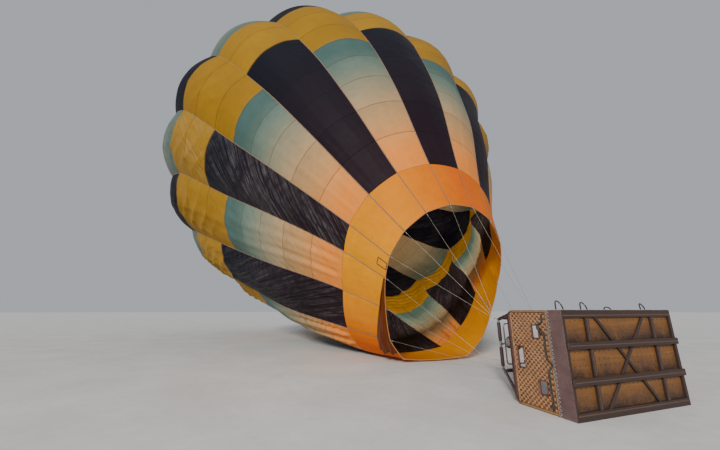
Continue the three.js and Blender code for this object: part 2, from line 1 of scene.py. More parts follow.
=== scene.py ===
# %% [markdown]
# # A hot air balloon being inflated
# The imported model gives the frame: every piece below takes its place from it, in metres. The model's origin
# is in the middle of the envelope. Sizes here are given from the burner, with height 0 where the balloon
# lies, because that is how one is laid out, and one function moves them to the model's frame.

import bpy
import numpy as np
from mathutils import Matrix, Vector


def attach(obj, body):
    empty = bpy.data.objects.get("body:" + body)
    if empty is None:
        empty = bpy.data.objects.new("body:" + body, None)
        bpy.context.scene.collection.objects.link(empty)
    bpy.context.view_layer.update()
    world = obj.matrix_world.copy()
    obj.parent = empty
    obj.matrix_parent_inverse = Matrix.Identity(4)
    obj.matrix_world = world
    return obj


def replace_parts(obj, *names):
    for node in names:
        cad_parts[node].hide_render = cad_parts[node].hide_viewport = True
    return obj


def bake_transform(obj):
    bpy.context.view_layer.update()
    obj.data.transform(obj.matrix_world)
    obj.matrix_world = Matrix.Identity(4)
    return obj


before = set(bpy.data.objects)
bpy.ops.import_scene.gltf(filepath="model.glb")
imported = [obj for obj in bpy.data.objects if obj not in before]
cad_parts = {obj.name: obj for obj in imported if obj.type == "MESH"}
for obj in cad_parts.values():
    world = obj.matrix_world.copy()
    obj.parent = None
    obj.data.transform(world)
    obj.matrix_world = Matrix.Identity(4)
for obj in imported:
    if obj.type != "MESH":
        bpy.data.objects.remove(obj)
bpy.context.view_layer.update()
AIR = np.array([14.0, 0.0, 10.0])

# %% [markdown]
# ## Meshes from arrays
# A surface is a grid of points worked out all at once, so a helper only has to number its faces. Tubes,
# ropes, pipes and cane are one kind of shape, a ring carried along a path, so one function makes them all.

# %% Mesh helpers


def unit(vectors):
    """Each vector over its own length."""
    return vectors / np.maximum(np.linalg.norm(vectors, axis=-1, keepdims=True), 1e-12)


def grid_faces(rows, columns, wrap=False):
    """Four corners for each cell of a grid, turned so that along x side points out. Also gives each
    corner's row and column, which go on counting where the grid closes on itself."""
    last = columns if wrap else columns - 1
    row, column = np.meshgrid(np.arange(rows - 1), np.arange(last), indexing="ij")
    row, column = row.ravel(), column.ravel()
    cells = np.stack([row, row + 1, row + 1, row], 1), np.stack([column, column, column + 1, column + 1], 1)
    return cells[0] * columns + cells[1] % columns, np.stack(cells, -1)


def circle(count):
    """Angles evenly spaced round a full turn."""
    return np.arange(count) * 2 * np.pi / count


def distances(points):
    """The way along a line of points, from 0 at its first: the sum of its steps so far."""
    return np.concatenate([[0.0], np.cumsum(np.linalg.norm(np.diff(points, axis=0), axis=-1))])


def piece(name, shape, body, material, smooth=True):
    """A mesh at the origin from (points, faces, uv). Its points are given from the burner, and uv has one
    pair for each face corner, or is None."""
    points, faces, uv = shape
    mesh = bpy.data.meshes.new(name)
    mesh.from_pydata((np.asarray(points, float).reshape(-1, 3) - AIR).tolist(), [], [list(f) for f in faces])
    if uv is not None:
        layer = mesh.uv_layers.new(name="surface")
        layer.data.foreach_set("uv", np.asarray(uv, np.float32).ravel())
    mesh.polygons.foreach_set("use_smooth", np.full(len(mesh.polygons), smooth))
    mesh.materials.append(material)
    made = bpy.data.objects.new(name, mesh)
    bpy.context.scene.collection.objects.link(made)
    if body is not None:
        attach(made, body)
    return made


# %% Tubes, turned shapes and boxes


def sweep(paths, radius, sides=10, up=(0, 0, 1), closed=False):
    """Tubes along several paths at once. A ring is centre + radius (cos a side + sin a lift), with side and
    lift square to the path. radius is one number or a pair, the side one and the lift one."""
    paths = np.asarray(paths, float)
    paths = paths[None] if paths.ndim == 2 else paths
    tubes, steps = paths.shape[:2]
    ahead = np.roll(paths, -1, 1) - np.roll(paths, 1, 1) if closed else np.gradient(paths, axis=1)
    ahead = unit(ahead)
    side = unit(np.cross(ahead, np.broadcast_to(np.asarray(up, float), paths.shape)))
    lift = np.cross(side, ahead)
    radius = np.broadcast_to(np.asarray(radius, float), (tubes, steps, 2))
    angle = circle(sides)
    rings = (paths[:, :, None]
             + (radius[:, :, :1, None] * np.cos(angle)[:, None]) * side[:, :, None]
             + (radius[:, :, 1:, None] * np.sin(angle)[:, None]) * lift[:, :, None])
    length = np.linalg.norm(np.diff(paths, axis=1), axis=2)
    along = np.concatenate([np.zeros((tubes, 1)), np.cumsum(length, 1)], 1)
    faces, uv = [], []
    for tube in range(tubes):
        start = tube * steps * sides
        cells, corners = grid_faces(steps + closed, sides, wrap=True)
        cells = start + cells % (steps * sides)
        run = np.append(along[tube], along[tube, -1] + length[tube, -1])
        faces += cells.tolist()
        uv.append(np.stack([corners[..., 1] / sides, run[corners[..., 0]]], -1).reshape(-1, 2))
        if not closed:
            first = start + np.arange(sides)
            faces += [first.tolist(), (first + (steps - 1) * sides)[::-1].tolist()]
            uv.append(np.zeros((2 * sides, 2)))
    return rings.reshape(-1, 3), faces, np.concatenate(uv)


def merged(*shapes):
    """Several (points, faces, uv) as one."""
    points, faces, uv, count = [], [], [], 0
    for shape in shapes:
        points.append(np.asarray(shape[0]).reshape(-1, 3))
        faces += [[corner + count for corner in face] for face in shape[1]]
        uv.append(shape[2])
        count += len(points[-1])
    return np.concatenate(points), faces, np.concatenate(uv)


def lathe(profile, origin, axis, sides=32):
    """A profile of (distance out, distance along) turned about an axis through origin. The profile starts
    and ends on the axis, and its two ends close to a point."""
    axis = unit(np.asarray(axis, float))
    side = unit(np.cross(axis, [0.3, 0.9, 0.2]))
    other = np.cross(axis, side)
    out, along = np.asarray(profile, float).T
    angle = circle(sides)[:, None]
    spokes = np.cos(angle) * side + np.sin(angle) * other
    points = np.asarray(origin, float) + along[1:-1, None, None] * axis + out[1:-1, None, None] * spokes
    rows = len(out) - 2
    cells, corners = grid_faces(rows, sides, wrap=True)
    uv = np.stack([corners[..., 1] / sides, along[1:-1][corners[..., 0]]], -1).reshape(-1, 2)
    ends = np.stack([np.asarray(origin) + along[0] * axis, np.asarray(origin) + along[-1] * axis])
    ring = np.arange(sides)
    low = np.stack([np.full(sides, rows * sides), ring, (ring + 1) % sides], 1)
    high = np.stack([np.full(sides, rows * sides + 1), (rows - 1) * sides + (ring + 1) % sides,
                     (rows - 1) * sides + ring], 1)
    faces = cells[:, ::-1].tolist() + low[:, ::-1].tolist() + high[:, ::-1].tolist()
    uv = np.concatenate([uv.reshape(-1, 4, 2)[:, ::-1].reshape(-1, 2), np.zeros((6 * sides, 2))])
    return np.concatenate([points.reshape(-1, 3), ends]), faces, uv


def cuboid(low, high, turn=0.0):
    """The eight corners of a box, turned about X through its middle."""
    low, high = np.minimum(low, high), np.maximum(low, high)
    corner = np.array([[x, y, z] for x in (0, 1) for y in (0, 1) for z in (0, 1)], float)
    points = low + corner * (high - low)
    centre = points.mean(0)
    spin = np.array([[1, 0, 0], [0, np.cos(turn), -np.sin(turn)], [0, np.sin(turn), np.cos(turn)]])
    points = centre + (points - centre) @ spin.T
    faces = [[0, 1, 3, 2], [4, 6, 7, 5], [0, 4, 5, 1], [2, 3, 7, 6], [0, 2, 6, 4], [1, 5, 7, 3]]
    return points, faces, np.zeros((24, 2))


def blocks(name, shapes, body, material, edge):
    """Boards and bars whose edges are rounded over by a bevel, edge metres wide."""
    points, faces, _ = merged(*shapes)
    made = piece(name, (points, faces, None), body, material, smooth=False)
    bevel = made.modifiers.new("rounded edges", "BEVEL")
    bevel.width, bevel.segments = edge, 3
    return made


# %% [markdown]
# ## Finishes
# Every finish is built from a few shared effects: woven grain, creases, weathering, wood grain, leather
# grain and the twist of a rope. Each effect is a node group that gives out only heights and masks, so one
# group serves many materials at its own scale. Patterns that follow cloth or rope read the piece's own UV
# map, which is measured in metres, and the rest read Object coordinates.

# %% Node helpers


def feed(tree, node, sockets):
    """Gives a node its inputs, by name or number: another node's output is linked, and a value is set."""
    for key, value in sockets.items():
        if isinstance(value, bpy.types.NodeSocket):
            tree.links.new(value, node.inputs[key])
        else:
            node.inputs[key].default_value = value


def add(tree, kind, sockets=None, **settings):
    """One node, with its inputs and its settings."""
    made = tree.nodes.new("ShaderNode" + kind)
    for key, value in settings.items():
        setattr(made, key, value)
    feed(tree, made, sockets or {})
    return made


def calc(tree, operation, *values):
    """The result of one Math node."""
    return add(tree, "Math", dict(enumerate(values)), operation=operation).outputs[0]


def remap(tree, value, start, end, low=0.0, high=1.0):
    """A value that runs from low to high, moved to run from start to end and held there."""
    return add(tree, "MapRange", {0: value, 1: low, 2: high, 3: start, 4: end}).outputs[0]


def blend(tree, factor, first, second, mode="MIX"):
    """Two colours mixed."""
    return add(tree, "Mix", {0: factor, 6: first, 7: second}, data_type="RGBA", blend_type=mode).outputs[2]


def rgb(red, green, blue):
    """A screen colour of 0 to 255 as light."""
    value = np.array([red, green, blue]) / 255
    return (*np.where(value <= 0.04045, value / 12.92, ((value + 0.055) / 1.055) ** 2.4).tolist(), 1.0)


def ramp(tree, factor, stops):
    """A colour for each stretch of a factor from 0 to 1. Places come first, because they sort the stops."""
    made = add(tree, "ValToRGB", {0: factor})
    elements = made.color_ramp.elements
    while len(elements) < len(stops):
        elements.new(0.5)
    for element, (place, _) in zip(elements, stops):
        element.position = place
    for element, (_, colour) in zip(elements, stops):
        element.color = colour
    return made.outputs[0]


def group(name, inputs, outputs, build):
    """A shader node group: build(tree, given) returns its outputs in order."""
    tree = bpy.data.node_groups.new(name, "ShaderNodeTree")
    for label, kind, value in inputs:
        socket = tree.interface.new_socket(name=label, in_out="INPUT", socket_type="NodeSocket" + kind)
        if value is not None:
            socket.default_value = value
    for label in outputs:
        tree.interface.new_socket(name=label, in_out="OUTPUT", socket_type="NodeSocketFloat")
    given = tree.nodes.new("NodeGroupInput").outputs
    end = tree.nodes.new("NodeGroupOutput")
    for socket, value in zip(end.inputs, build(tree, given)):
        tree.links.new(value, socket)
    return tree


def use(tree, effect, **sockets):
    """An effect placed in a material with its own values."""
    made = tree.nodes.new("ShaderNodeGroup")
    made.node_tree = effect
    feed(tree, made, sockets)
    return made.outputs


def material(name):
    """A new material and its node tree."""
    made = bpy.data.materials.new(name)
    made.use_nodes = True
    return made, made.node_tree


def surface(tree, colour, roughness, height=None, depth=0.001, through=0.0, **shader):
    """Finishes a material: a Principled shader, a bump if there is a height, and for thin cloth some of the
    light that falls on its back."""
    shell = tree.nodes["Principled BSDF"]
    feed(tree, shell, {"Base Color": colour, "Roughness": roughness})
    feed(tree, shell, {key.replace("_", " "): value for key, value in shader.items()})
    if height is not None:
        normal = add(tree, "Bump", {"Height": height, "Distance": depth, "Strength": 1.0}).outputs[0]
        tree.links.new(normal, shell.inputs["Normal"])
    if through:
        lit = add(tree, "BsdfTranslucent", {"Color": colour})
        both = add(tree, "MixShader", {0: through, 1: shell.outputs[0], 2: lit.outputs[0]})
        tree.links.new(both.outputs[0], tree.nodes["Material Output"].inputs["Surface"])


def surface_uv(tree):
    """The piece's own UV map, in metres along the surface."""
    return add(tree, "UVMap", uv_map="surface").outputs[0]


def object_place(tree):
    """Object coordinates, in metres from the model's origin."""
    return add(tree, "TexCoord").outputs["Object"]


# %% Shared effects


def weave_nodes(tree, given):
    """Two sets of bands at right angles: the higher of the two is the thread on top."""
    bands = [add(tree, "TexWave", {"Vector": given["Vector"], "Scale": given["Scale"]},
                 wave_type="BANDS", bands_direction=axis).outputs["Fac"] for axis in "XY"]
    return [calc(tree, "MAXIMUM", *bands)]


def crease_nodes(tree, given):
    """Noise stretched along one direction, folded at its middle so that it has sharp ridges."""
    turned = add(tree, "Mapping", {"Vector": given["Vector"]}, vector_type="POINT")
    angle = add(tree, "CombineXYZ", {"Z": given["Turn"]})
    tree.links.new(angle.outputs[0], turned.inputs["Rotation"])
    stretch = add(tree, "CombineXYZ", {"X": given["Across"], "Y": given["Along"], "Z": 1.0})
    flat = add(tree, "VectorMath", {0: turned.outputs[0], 1: stretch.outputs[0]}, operation="MULTIPLY")
    noise = add(tree, "TexNoise", {"Vector": flat.outputs[0], "Scale": 1.0, "Detail": 3.0, "Roughness": 0.55,
                                   "Distortion": 0.4}).outputs["Fac"]
    ridge = calc(tree, "ABSOLUTE", calc(tree, "SUBTRACT", noise, 0.5))
    return [calc(tree, "SUBTRACT", 1.0, calc(tree, "MINIMUM", calc(tree, "MULTIPLY", ridge, 6.0), 1.0))]


# Weathering: how much finer the small noise is, each noise's share, and the range that the mask opens up.
WEATHER_FINER, LARGE_SHARE, FINE_SHARE, WEATHER_RANGE = 7.3, 0.7, 0.3, (0.38, 0.66)


def weather_nodes(tree, given):
    """Large and small noise added by their shares, with the contrast raised for the mask."""
    large = add(tree, "TexNoise", {"Vector": given["Vector"], "Scale": given["Scale"], "Detail": 5.0,
                                   "Roughness": 0.62}).outputs["Fac"]
    close = calc(tree, "MULTIPLY", given["Scale"], WEATHER_FINER)
    fine = add(tree, "TexNoise", {"Vector": given["Vector"], "Scale": close, "Detail": 3.0}).outputs["Fac"]
    both = calc(tree, "ADD", calc(tree, "MULTIPLY", large, LARGE_SHARE),
                calc(tree, "MULTIPLY", fine, FINE_SHARE))
    return [remap(tree, both, 0.0, 1.0, *WEATHER_RANGE), both]


def wood_nodes(tree, given):
    """Bands distorted by noise that is stretched along the grain."""
    stretched = add(tree, "VectorMath", {0: given["Vector"], 1: given["Stretch"]}, operation="MULTIPLY")
    grain = add(tree, "TexNoise", {"Vector": stretched.outputs[0], "Scale": given["Scale"], "Detail": 6.0,
                                   "Roughness": 0.65, "Distortion": 0.8}).outputs["Fac"]
    lines = calc(tree, "PINGPONG", calc(tree, "MULTIPLY", grain, 5.0), 0.5)
    return [calc(tree, "MULTIPLY", lines, 2.0), grain]


def leather_nodes(tree, given):
    """Small cells with creases between them, over a soft swell."""
    cells = add(tree, "TexVoronoi", {"Vector": given["Vector"], "Scale": given["Scale"]},
                feature="DISTANCE_TO_EDGE").outputs["Distance"]
    pores = calc(tree, "MINIMUM", calc(tree, "MULTIPLY", cells, 5.0), 1.0)
    wide = calc(tree, "MULTIPLY", given["Scale"], 0.08)
    swell = add(tree, "TexNoise", {"Vector": given["Vector"], "Scale": wide, "Detail": 4.0}).outputs["Fac"]
    return [calc(tree, "ADD", calc(tree, "MULTIPLY", pores, 0.3), swell), swell]


def twist_nodes(tree, given):
    """Strands that climb round a rope: the sine of strands x turn + way along over pitch."""
    parts = add(tree, "SeparateXYZ", {0: given["Vector"]}).outputs
    turn = calc(tree, "MULTIPLY", parts["X"], given["Strands"])
    climb = calc(tree, "DIVIDE", parts["Y"], given["Pitch"])
    wave = calc(tree, "SINE", calc(tree, "MULTIPLY", calc(tree, "ADD", turn, climb), 2 * np.pi))
    return [calc(tree, "ABSOLUTE", wave)]


VECTOR, SCALE = ("Vector", "Vector", None), ("Scale", "Float", 4.0)
WEAVE = group("woven grain", [VECTOR, SCALE], ["Height"], weave_nodes)
CREASES = group("creases", [VECTOR, ("Turn", "Float", 0.0), ("Across", "Float", 8.0),
                            ("Along", "Float", 0.6)], ["Height"], crease_nodes)
WEATHER = group("weathering", [VECTOR, SCALE], ["Mask", "Height"], weather_nodes)
WOOD = group("wood grain", [VECTOR, ("Stretch", "Vector", (1, 1, 1)), SCALE], ["Lines", "Height"], wood_nodes)
HIDE = group("leather grain", [VECTOR, SCALE], ["Height", "Mask"], leather_nodes)
TWIST = group("rope twist", [VECTOR, ("Strands", "Float", 3.0), ("Pitch", "Float", 0.03)], ["Height"],
              twist_nodes)
print("effects:", len(bpy.data.node_groups))

# %% [markdown]
# ## Envelope cloth
# The envelope is coated nylon, sewn from 16 gores that are each a stack of panels. The stripes are the
# panels' own colours, so the colour is worked out from the way along the gore, and changes at the panel
# seams. Near the mouth a painted glow lies over them: the light gores run from peach at the mouth to teal,
# the dark gores from warm navy to navy, and the mouth band turns orange in places. A ramp holds the stripes,
# the seams are narrow darker lines where two layers meet, and creases and the woven grain are bumps, with
# painted highlights on the fine creases. The cloth is thin enough to glow when light falls on its far side.

# %% Panels and stripes
# RING is where the mouth band ends and the gores begin, ROW the height of a panel, CROWN where the gores
# end and REACH a little more than that, all in metres along a gore.
RING = 1.95
ROW = 1.56
LIGHT_TOP = RING + 5 * ROW
DARK_TOP = RING + 6 * ROW
YELLOW_END = RING + 8 * ROW
CROWN = 29.0
REACH = 30.0

# The peach and the warm navy are painted glow near the mouth.
PEACH_GLOW = rgb(244, 146, 58)
SAND = rgb(208, 160, 106)
STONE = rgb(150, 138, 110)
SAGE = rgb(104, 120, 108)
TEAL = rgb(74, 104, 100)
GOLD = rgb(156, 116, 20)
NAVY = rgb(10, 12, 28)
NAVY_GLOW = rgb(36, 17, 24)
AMBER = rgb(242, 160, 0)
GLOW_ORANGE = rgb(232, 98, 0)
# The pale grey of the painted highlights on crease ridges.
CREASE_HIGHLIGHT = rgb(150, 148, 144)

STOP_GAP = 0.00005
MOUTH_EDGE, CROWN_EDGE = 0.2, REACH - 0.1


def stripes(*stretches):
    """Ramp stops from (start, end, colour at start, colour at end), in metres along the gore."""
    stops = []
    for start, end, first, second in stretches:
        stops += [(start / REACH + STOP_GAP, first), (end / REACH - STOP_GAP, second)]
    return stops


# The light gores' rows grade from peach at the mouth to teal, and the dark gores from warm navy to navy:
# painted glow that fades up from the mouth, over the cloth's own colours.
FADE_END = YELLOW_END + 3 * ROW
LIGHT_ROWS_AND_GLOW = (PEACH_GLOW, SAND, STONE, SAGE, TEAL)
DARK_STRIPES = stripes(
    (MOUTH_EDGE, DARK_TOP, NAVY_GLOW, NAVY), (DARK_TOP, YELLOW_END, GOLD, GOLD),
    (YELLOW_END, FADE_END, TEAL, STONE), (FADE_END, CROWN_EDGE, STONE, SAND))
LIGHT_STRIPES = (
    [(MOUTH_EDGE / REACH + STOP_GAP, PEACH_GLOW)]
    + [((RING + (row + 0.5) * ROW) / REACH, colour) for row, colour in enumerate(LIGHT_ROWS_AND_GLOW)]
    + [(LIGHT_TOP / REACH - STOP_GAP, TEAL)]
    + stripes((LIGHT_TOP, YELLOW_END, GOLD, GOLD), (YELLOW_END, CROWN_EDGE, NAVY, NAVY)))
print("stops:", len(DARK_STRIPES), "on a dark gore,", len(LIGHT_STRIPES), "on a light one")

# %% Coated nylon
SEAM_HALF, SEAM_SHADE, SEAM_RISE, GRAIN_RISE = 0.02, 0.55, 0.25, 0.012
BAND_GIRTH = 17.5
LARGE_FOLDS = {"Across": 2.6, "Along": 0.3}
FINE_CREASES = {"Across": 8.5, "Along": 0.17}
CREASE_SHINE = 0.6
PANEL_TINTS, WORN_TINTS = (0.9, 1.06), (0.86, 1.05)
CLOTH_ROUGHNESS, CLOTH_GLOSS, FOLD_BUMP = (0.5, 0.7), 0.14, 0.03


def cloth(name, stops, creases, turn, through=0.2, seams=True, mouth_glow=()):
    """Coated nylon: stripes by the way along, seam lines at each panel's end, creases with painted highlights
    and a woven grain. The last argument is how much of the stripe turns orange round the mouth: painted glow."""
    made, tree = material(name)
    uv = surface_uv(tree)
    across, along = add(tree, "SeparateXYZ", {0: uv}).outputs[:2]
    worn = use(tree, WEATHER, Vector=uv, Scale=0.5)
    fold = use(tree, CREASES, Vector=uv, Turn=turn, **LARGE_FOLDS)["Height"]
    fine = use(tree, CREASES, Vector=uv, Turn=turn * 0.95, **FINE_CREASES)["Height"]
    grain = use(tree, WEAVE, Vector=uv, Scale=30.0)["Height"]

    stripe = ramp(tree, calc(tree, "DIVIDE", along, REACH), stops)
    # Painted glow: the amber turns orange by the way round the mouth.
    if mouth_glow:
        round_mouth = calc(tree, "DIVIDE", across, BAND_GIRTH)
        share = ramp(tree, round_mouth, [(place, (part, part, part, 1)) for place, part in mouth_glow])
        stripe = blend(tree, share, stripe, GLOW_ORANGE)
    row = calc(tree, "DIVIDE", calc(tree, "SUBTRACT", along, RING), ROW)
    number = calc(tree, "FLOOR", row)
    panel = add(tree, "TexWhiteNoise", {"W": number}, noise_dimensions="1D").outputs["Value"]
    off_seam = calc(tree, "MULTIPLY", calc(tree, "PINGPONG", row, 0.5), ROW)
    stitched = remap(tree, off_seam, float(seams), 0.0, SEAM_HALF * 0.4, SEAM_HALF)

    tint = calc(tree, "MULTIPLY", remap(tree, panel, *PANEL_TINTS), remap(tree, worn["Mask"], *WORN_TINTS))
    seam = calc(tree, "SUBTRACT", 1.0, calc(tree, "MULTIPLY", stitched, SEAM_SHADE))
    tint = calc(tree, "MULTIPLY", tint, seam)
    grey = add(tree, "CombineColor", {0: tint, 1: tint, 2: tint}).outputs[0]
    colour = blend(tree, 1.0, stripe, grey, "MULTIPLY")
    # Painted highlight: ridges of the fine creases are blended towards a pale grey, more where the weathering
    # mask is high.
    glint = calc(tree, "MULTIPLY", calc(tree, "POWER", fine, 4.0), worn["Mask"])
    shine = calc(tree, "MULTIPLY", glint, CREASE_SHINE * creases**1.5)
    colour = blend(tree, shine, colour, CREASE_HIGHLIGHT)

    folds = calc(tree, "MULTIPLY", calc(tree, "ADD", fold, calc(tree, "MULTIPLY", fine, 0.6)), creases)
    thread = calc(tree, "ADD", calc(tree, "MULTIPLY", grain, GRAIN_RISE),
                  calc(tree, "MULTIPLY", stitched, SEAM_RISE))
    height = calc(tree, "ADD", folds, thread)
    surface(tree, colour, remap(tree, worn["Mask"], *CLOTH_ROUGHNESS), height, FOLD_BUMP, through,
            Specular_IOR_Level=CLOTH_GLOSS)
    return made


CLOTHS = {
    "dark taut": cloth("navy nylon, taut", DARK_STRIPES, 0.08, 0.2, 0.1),
    "dark steep": cloth("navy nylon, steep creases", DARK_STRIPES, 0.75, -0.6, 0.1),
    "dark steep mirrored": cloth("navy nylon, steep creases, mirrored", DARK_STRIPES, 0.75, 0.6, 0.1),
    "dark slack": cloth("navy nylon, slack", DARK_STRIPES, 0.5, 0.3, 0.1),
    "light taut": cloth("cream nylon, taut", LIGHT_STRIPES, 0.1, 0.2),
    "light slack": cloth("cream nylon, slack", LIGHT_STRIPES, 0.4, -0.5),
}
# Place round the mouth, from the top, and how much of the amber turns orange there, as painted glow.
MOUTH_GLOW = ((0.0, 0.9), (0.06, 0.65), (0.15, 0.3), (0.25, 0.0), (0.34, 0.2), (0.43, 0.9), (0.48, 0.5),
          (0.54, 0.0), (0.78, 0.0), (0.9, 0.6), (1.0, 0.9))
BAND_CLOTH = cloth("amber mouth cloth", [(0.0, AMBER), (1.0, AMBER)], 0.12, 0.2, 0.2, False, MOUTH_GLOW)
VENT_CLOTH = cloth("vent cloth", [(0.0, NAVY), (1.0, NAVY)], 0.15, 0.0, 0.1, False)
print("cloths:", len(CLOTHS) + 2)

# %% [markdown]
# ## Envelope shape
# A real envelope has no rigid section: each gore is cut wider than the gap between its load tapes, so the
# pressure swells it out between them. The surface is built the same way. Eight sections give the tapes'
# paths from the mouth to the crown, and each gore bulges from the straight line between its two tapes. The
# lower half of a section is flattened, because the cloth still lies on its underside.

# %% Sections
SECTION_COLUMNS = ("run", "top_x", "top_z", "side_x", "side_z", "half_width", "bottom_x", "bottom_z",
                   "spread", "droop", "bulge")
SECTIONS = np.array([
    [0, 1.6, 4.45, 2.6, 2.6, 2.0, 3.4, 0.04, 0.35, 1.5, 0.03],
    [2.0, 2.3, 6.05, 3.9, 3.65, 2.85, 5.6, 0.06, 0.35, 1.5, 0.05],
    [6.0, 3.6, 9.8, 6.4, 5.7, 5.0, 8.9, 0.45, 0.45, 1.3, 0.1],
    [10.0, 5.35, 13.45, 9.0, 7.6, 6.9, 12.3, 1.2, 0.55, 1.15, 0.14],
    [14.0, 7.55, 16.9, 11.35, 9.8, 9.35, 15.9, 2.2, 0.65, 1.05, 0.16],
    [18.2, 10.65, 19.75, 15.1, 11.05, 10.4, 19.6, 3.5, 0.8, 1.0, 0.16],
    [23.6, 15.6, 20.75, 19.4, 13.2, 8.15, 23.05, 6.5, 1.0, 1.0, 0.13],
    [29.0, 19.95, 17.55, 21.45, 15.15, 3.05, 23.1, 12.9, 1.0, 1.0, 0.06],
])
GORES = 16
GORE_STEP = 2 * np.pi / GORES
TAPES = np.arange(GORES) + 0.5
LOWEST = 0.002


def sections_at(run):
    """Cubic Hermite curves through the sections, each slope being that between the two neighbours."""
    run = np.asarray(run, float)
    stations, last = SECTIONS[:, 0], len(SECTIONS) - 1
    here = np.clip(np.searchsorted(stations, run, side="left") - 1, 0, last - 1)
    after, before, beyond = here + 1, np.maximum(here - 1, 0), np.minimum(here + 2, last)
    slope = (SECTIONS[after] - SECTIONS[before]) / (stations[after] - stations[before])[..., None]
    next_slope = (SECTIONS[beyond] - SECTIONS[here]) / (stations[beyond] - stations[here])[..., None]
    span = (stations[after] - stations[here])[..., None]
    t = (run - stations[here])[..., None] / span
    rows = ((2 * t**3 - 3 * t**2 + 1) * SECTIONS[here] + (t**3 - 2 * t**2 + t) * span * slope
            + (3 * t**2 - 2 * t**3) * SECTIONS[after] + (t**3 - t**2) * span * next_slope)
    return {name: rows[..., column] for column, name in enumerate(SECTION_COLUMNS)}


def tape_points(run, angle):
    """Top, side and bottom points joined by ellipse arcs: the upper one plain, the lower one with its cosine
    and sine raised to the powers droop and spread. The angle runs from the top towards +Y."""
    s = sections_at(run)
    up, out = np.cos(angle), np.sin(angle)
    above = up >= 0
    reach = np.where(above, up, np.abs(up) ** s["droop"])
    wide = np.where(above, out, np.sign(out) * np.abs(out) ** s["spread"])
    end_x = np.where(above, s["top_x"], s["bottom_x"])
    end_z = np.where(above, s["top_z"], s["bottom_z"])
    return np.stack([s["side_x"] + (end_x - s["side_x"]) * reach, s["half_width"] * wide,
                     s["side_z"] + (end_z - s["side_z"]) * reach], -1)


def gore_points(gore, across, run):
    """A chord between two tapes plus a rise of bulge x chord x (1 - across squared), outward."""
    across, run = np.broadcast_arrays(np.asarray(across, float), np.asarray(run, float))
    left, right = tape_points(run, (gore - 0.5) * GORE_STEP), tape_points(run, (gore + 0.5) * GORE_STEP)
    chord = right - left
    along = tape_points(run + 0.05, gore * GORE_STEP) - tape_points(run - 0.05, gore * GORE_STEP)
    width = np.linalg.norm(chord, axis=-1)
    rise = sections_at(run)["bulge"] * width * (1 - across**2)
    points = left + chord * (0.5 + 0.5 * across)[..., None] + unit(np.cross(along, chord)) * rise[..., None]
    points[..., 2] = np.maximum(points[..., 2], LOWEST)
    return points, width


def outward(points):
    """The surface's own normal: the way along crossed with the way across."""
    return unit(np.cross(np.gradient(points, axis=0), np.gradient(points, axis=1)))


# %% [markdown]
# ## Wrinkles
# The upper gores are tight and nearly smooth. Those at the side and underneath are slack: long folds run
# down them, drapes cross them where they turn inwards, the cloth is gathered where it is sewn to the load
# tapes, and one dark gore on each side has steep creases all over. Cloth simulation of a 20 m envelope
# would take too long, so the folds are sums of sines that die out at the tapes, and the finest creases are
# left to the cloth's bump.

# %% Wrinkles of a gore
# How slack each gore is, from the top one round towards +Y.
SLACK = (0.0, 0.05, 0.1, 0.15, 0.3, 0.5, 0.7, 1.0, 1.0, 1.0, 0.7, 0.5, 0.3, 0.15, 0.1, 0.05)
STEEP_CREASES = {4: "dark steep", 12: "dark steep mirrored"}
FOLD_DEPTH = 0.05
GATHER_DEPTH, GATHER_PITCH, GATHER_REACH = 0.03, 0.46, 0.3
DRAPE_DEPTH, DRAPE_PITCH, DRAPE_MIDDLE, DRAPE_REACH = 0.075, 0.9, 13.2, 2.0
FADE_IN, FADE_OUT = 0.4, 0.5


def wrinkles(gore, across, run, width):
    """Metres of rise: long folds down the gore, short gathers by the tapes, and where the slack gores turn
    inwards, drapes that cross them, each 1 - 2 |sine| raised to 0.7, so that their ridges are sharp."""
    random = np.random.default_rng(gore)
    phase = random.uniform(0, 2 * np.pi, 6)
    slack = SLACK[gore] * np.clip(1.25 - run / 22, 0.25, 1)
    off_tape = (1 - np.abs(across)) * width / 2
    inside = 1 - across**2
    drift = 0.8 * np.sin(run / 2.3 + phase[0]) + 0.5 * np.sin(run / 0.9 + phase[1])
    folds = np.sin(9 * across + drift + phase[2]) + 0.6 * np.sin(17 * across - 1.4 * drift + phase[3])
    gathers = np.sin(2 * np.pi * run / GATHER_PITCH + phase[4] + 2.2 * np.sin(run * 1.7))
    gathers = gathers * np.exp(-off_tape / GATHER_REACH) * np.minimum(off_tape / 0.1, 1)
    lean = 0.7 * across * np.sign(gore - GORES / 2) + 0.3 * np.sin(2.6 * across + phase[5])
    drapes = 1 - 2 * np.abs(np.sin(np.pi * (run + lean) / DRAPE_PITCH)) ** 0.7
    drapes = drapes * np.exp(-((run - DRAPE_MIDDLE) / DRAPE_REACH) ** 2) * min(SLACK[gore] * 2, 1)
    rise = (FOLD_DEPTH * slack * folds * inside + GATHER_DEPTH * (0.2 + slack) * gathers
            + DRAPE_DEPTH * drapes * inside)
    return rise * np.clip((run - RING) / FADE_IN, 0, 1) * np.clip((CROWN - run) / FADE_OUT, 0, 1)


